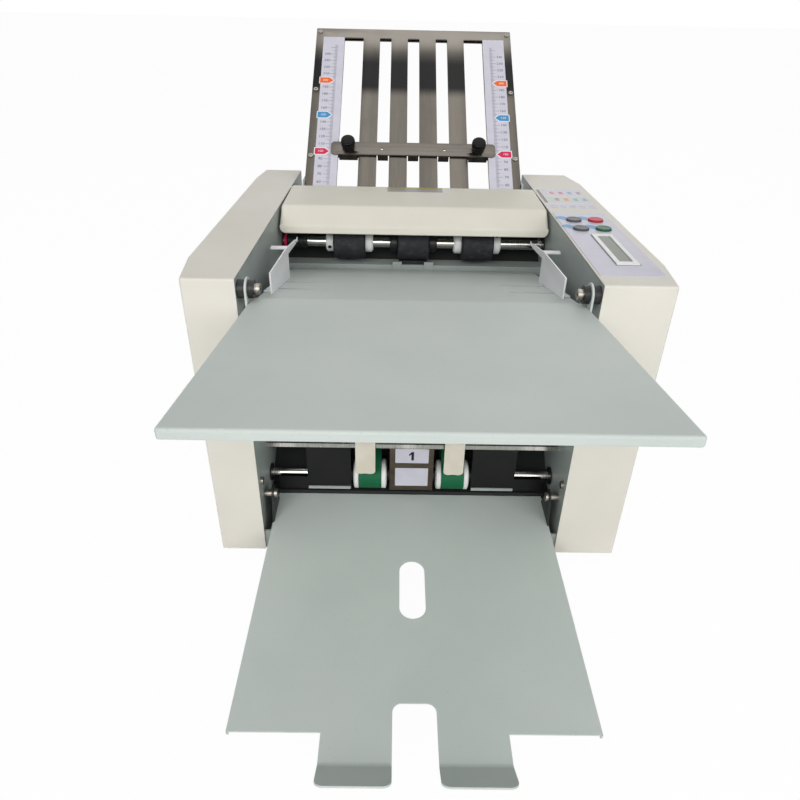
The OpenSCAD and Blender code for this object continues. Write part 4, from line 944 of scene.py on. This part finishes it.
hubs, webs = [], []
webLoop = rounded([(50, 107), (34, 107), (34, 98), (46, 98)], 2, 4, closed=True)
for centre, armName in zip(pressArm["centres"], ("leftPressArm", "rightPressArm")):
    make(armName, pressArmShape(centre), "press_arms", "creamPlastic", slot="cream_plastic", wall=2.6,
         edge=0.6, even=False, offset=0, rings=3)
    hubs.append(pressHub(centre))
    webs += [earPlate([webLoop], centre + x, centre + x + 2.0, 0.3) for x in (-7.6, 5.6)]
make("pressArmHubs", joined(*hubs, *webs), "press_arms", "creamPlastic", ["press_arms"], "cream_plastic")
r = pressArm["rod"]
rod = onRodAxis([(-31, 0), (-31, r), (27, r), (27, 0)])
make("pressArmRod", rod, "press_arms", "chrome", slot="bright_steel")
# the rod's outer lengths, beyond the arms, are black as painted shade
shadedRodEnds = [onRodAxis([(low, 0), (low, r - 0.3), (low + 0.3, r), (high - 0.3, r), (high, r - 0.3), (high, 0)])
           for low, high in ((-132.5, -31.01), (27.01, 132.5))]
make("pressArmRodShadedEnds", joined(*shadedRodEnds), "press_arms", "blackPlastic", slot="bright_steel")
print("press arms ready")

# The bent tails of the side guides
guideTail = {"path": [(109.6, 161.5), (108.4, 166.5), (109.2, 172.4)], "half": 0.5, "low": 234.9,
             "high": 237.3}
tailPath = rounded(guideTail["path"], [0, 4, 0], 8)
tailLoop = np.concatenate([inset(tailPath, guideTail["half"], closed=False),
                           inset(tailPath, -guideTail["half"], closed=False)[::-1]])
tail = slab([tailLoop[::-1]], guideTail["low"], guideTail["high"], 0.2)
make("rightGuideTail", tail, "right_side_guide", "sheetSteel", slot="stainless")
make("leftGuideTail", mirrored(tail), "left_side_guide", "sheetSteel", slot="stainless")

delivery = {"face": 40, "labels": ((-14.5, 14.9, 76.4, 91.6), (-14.5, 14.9, 51, 70.8)),
            "figureAt": (0.6, 84.0), "ledge": (54.6, 92.6, 46.1, 48.9), "ledgeFace": 40.98}


def standing(loops, y, thickness=0.2):
    # outlines drawn in (x, z) on the face of an upright plate at y
    points, faces = slab([np.asarray(loop, float) for loop in loops], 0, thickness, 0.03, 1)
    return np.stack([points[:, 0], y - points[:, 2], points[:, 1]], -1), faces


labels = joined(*[standing([box(*sides, 0.6)], delivery["face"]) for sides in delivery["labels"]])
make("deliveryLabels", labels, "body", "label", slot="label_metal")
figure = np.array([(-1.0, -4.6), (1.3, -4.6), (1.3, 4.6), (-0.5, 4.6), (-3.1, 1.9), (-3.1, 0.2), (-1.0, 1.7)])
number = standing([figure + np.array(delivery["figureAt"])], delivery["face"] - 0.2, 0.1)
make("deliveryNumber", number, "body", "inkBlack", slot="label_metal")
ledge = standing([box(*delivery["ledge"], 0.3)], delivery["ledgeFace"], 0.9)
make("deliveryLedges", bothSides(ledge), "body", "wall", slot="label_metal")

button = {"radius": 6.8, "stem": 2.0, "top": 262.4}


def pushButton(x, y):
    # a shallow dished cap on a round stem
    r, stem, top = button["radius"], button["stem"], button["top"]
    profile = rounded([(248.2, 0), (248.2, stem), (256.5, stem), (256.5, r + 1.2), (258.5, r + 1.2),
                       (258.5, r), (top, r), (top - 0.35, r * 0.6), (top - 0.45, 0)],
                      [0, 0, 0, 0, 0, 0, 0.9, 3, 0], 6)
    return turned(profile, (x, y, 0), "z", 64)


(front, rear), (left, right) = panel["rows"], panel["columns"]
for node, x, y in (("button_grey_rear", left, rear), ("button_red", right, rear),
                   ("button_grey_front", left, front), ("button_green", right, front)):
    colour = node.split("_")[1]
    make(node.replace("_", " ").title().replace(" ", "") + "Cap", pushButton(x, y), node,
         "button" + colour.title(), [node], "button_" + colour)


def printed(name, loops, ink, height):
    make(name, flatShapes(loops, height), "body", ink, slot="membrane")


def capsule(start, end, half):
    # a bar round at its start, from one point to another
    start, end = np.asarray(start, float), np.asarray(end, float)
    along = (end - start) / np.linalg.norm(end - start)
    side = np.array([-along[1], along[0]])
    corners = [start - (along + side) * half, end - side * half, end + side * half,
               start - (along - side) * half]
    return rounded(corners, [half * 0.98, 0, 0, half * 0.98], 8, closed=True)


tags = [capsule((x - 9.6, y + 8.4), (x - 3.6, y + 3.2), 4.9) for x in panel["columns"] for y in panel["rows"]]
printed("buttonTags", tags, "inkBlue", panel["inkTop"])

# The program chart behind the buttons: a title bar, a row of cells, a grey row and a row of fold signs
chart = {"first": 144.3, "pitch": 9.25, "on": 259.98, "cells": (255, 281), "upper": 266, "lower": 238.5,
         "right": 176.2, "strokes": 135.4}
cellAt = [chart["first"] + k * chart["pitch"] for k in range(4)]
cells = [box(134.4, 139.3, *chart["cells"], 0.5)]
cells += [box(x - 4.4, x + 4.4, *chart["cells"], 0.5) for x in cellAt]
cells.append(box(129.8, chart["right"], 203.5, 222, 0.6))
printed("chartCells", cells, "film", chart["on"])
printed("chartBand", [box(134.0, chart["right"], 226, 250, 0.6)], "inkSoft", chart["on"])
signs = {"inkRed": [(0, "upper"), (1, "upper")], "inkBlue": [(2, "upper"), (2, "lower"), (3, "lower")],
         "inkOrange": [(1, "lower")], "inkPlum": [(0, "lower"), (3, "upper")]}
for ink, spots in signs.items():
    shapes = []
    for column, row in spots:
        x, y = cellAt[column], chart[row]
        shapes += [box(x - 2.2, x + 2.2, y - 4.6, y - 0.5, 1.2), box(x - 2.2, x + 2.2, y + 0.5, y + 4.6, 1.2)]
    printed("chartSigns" + ink[3:], shapes, ink, chart["on"] + 0.03)


def foldSign(x, y, bends):
    # a sheet seen from its edge: a zigzag path given a line's width
    steps = np.arange(bends + 2)
    path = np.column_stack([x - 3 + 6 * steps / (bends + 1), y + 4 * (steps % 2)])
    return np.concatenate([inset(path, -0.25, closed=False), inset(path, 0.25, closed=False)[::-1]])


strokeAt = [chart["strokes"] + k * chart["pitch"] for k in range(5)]
strokes = [foldSign(x, 210, bends) for x, bends in zip(strokeAt, (1, 2, 3, 2, 1))]
strokes += [box(x - 2.6, x + 2.6, 206, 206.6) for x in strokeAt]
printed("chartStrokes", strokes, "inkGrey", chart["on"] + 0.03)
printed("chartBar", [box(129.8, 133.1, 225, 278.3, 0.5)], "inkDark", chart["on"])
outline = [box(147.0, 147.5, 41.5, 117), box(165.8, 166.3, 41.5, 117), box(147.0, 166.3, 40.9, 41.5)]
printed("displayLines", outline, "inkBlack", panel["inkTop"])
print("control panel ready")

studio = {"floor": 40.0, "world": 0.26, "glow": 0.97}


def backgroundGate(tree):
    # one for the rays that see the background itself: from the camera, in gloss, and through glass
    camera, glossy, clear = (tree.node("ShaderNodeLightPath", output="Is %s Ray" % kind)
                             for kind in ("Camera", "Glossy", "Transmission"))
    return camera.maths("MAXIMUM", camera.maths("MAXIMUM", camera, glossy), clear)


def lightWorld():
    # white where it is seen, and a faint cool light where it only lights
    world = bpy.data.worlds.new("studio")
    bpy.context.scene.world = world
    tree = Tree(world)
    seen = tree.node("ShaderNodeBackground", None, [(1, 1, 1, 1), 1.0])
    felt = tree.node("ShaderNodeBackground", None, [(0.97, 0.98, 1, 1), studio["world"]])
    blend = tree.node("ShaderNodeMixShader", None, [backgroundGate(tree), felt, seen])
    tree.node("ShaderNodeOutputWorld", None, [blend])


def layFloor():
    # a matt floor that mostly glows white where it is seen, so that only soft shadows show
    side = studio["floor"]
    mesh = bpy.data.meshes.new("floor")
    corners = [(-side, -side, 0), (side, -side, 0), (side, side, 0), (-side, side, 0)]
    mesh.from_pydata(corners, [], [(0, 1, 2, 3)])
    floor = bpy.data.objects.new("floor", mesh)
    bpy.context.scene.collection.objects.link(floor)
    material = bpy.data.materials.new("floorWhite")
    tree = Tree(material)
    matt = tree.node("ShaderNodeBsdfDiffuse", None, [(0.9, 0.9, 0.9, 1)])
    glow = tree.node("ShaderNodeEmission", None, [(1, 1, 1, 1), 1.0])
    share = backgroundGate(tree) * studio["glow"]
    blend = tree.node("ShaderNodeMixShader", None, [share, matt, glow])
    tree.node("ShaderNodeOutputMaterial", None, [blend])
    mesh.materials.append(material)


def softbox(name, spot, aim, size, power):
    light = bpy.data.lights.new(name, "AREA")
    light.shape, light.size, light.energy = "SQUARE", size, power
    lamp = bpy.data.objects.new(name, light)
    lamp.location = spot
    lamp.rotation_euler = (Vector(aim) - Vector(spot)).to_track_quat("-Z", "Y").to_euler()
    bpy.context.scene.collection.objects.link(lamp)


lightWorld()
layFloor()
# Each lamp's place, aim, size and power
lamps = {"key": ((-1.1, -2.2, 1.7), (0, 0, 0.15), 1.5, 27.0),
         "fill": ((1.5, -1.8, 1.2), (0, 0, 0.15), 1.5, 17.0),
         "front": ((0.1, -3.0, 1.5), (0, -0.2, 0.1), 1.8, 23.0),
         "top": ((0.1, 0.3, 2.3), (0, 0, 0.1), 1.6, 6.0),
         "back": ((0.4, 2.3, 1.3), (0, 0, 0.2), 1.5, 5.0)}
for lampName, lamp in lamps.items():
    softbox(lampName, *lamp)

shot = {"spot": (-16.683, -419.643, 418.952), "turn": (58.8771, -1.04487, -0.01527), "lens": 28.976}
cameraData = bpy.data.cameras.new("camera")
cameraData.lens, cameraData.sensor_width, cameraData.clip_start = shot["lens"], 36, 0.01
camera = bpy.data.objects.new("camera", cameraData)
camera.location = place([shot["spot"]])[0]
camera.rotation_euler = [math.radians(a) for a in shot["turn"]]
bpy.context.scene.collection.objects.link(camera)
bpy.context.scene.camera = camera
bpy.context.scene.view_settings.view_transform = "Standard"
print("studio ready")
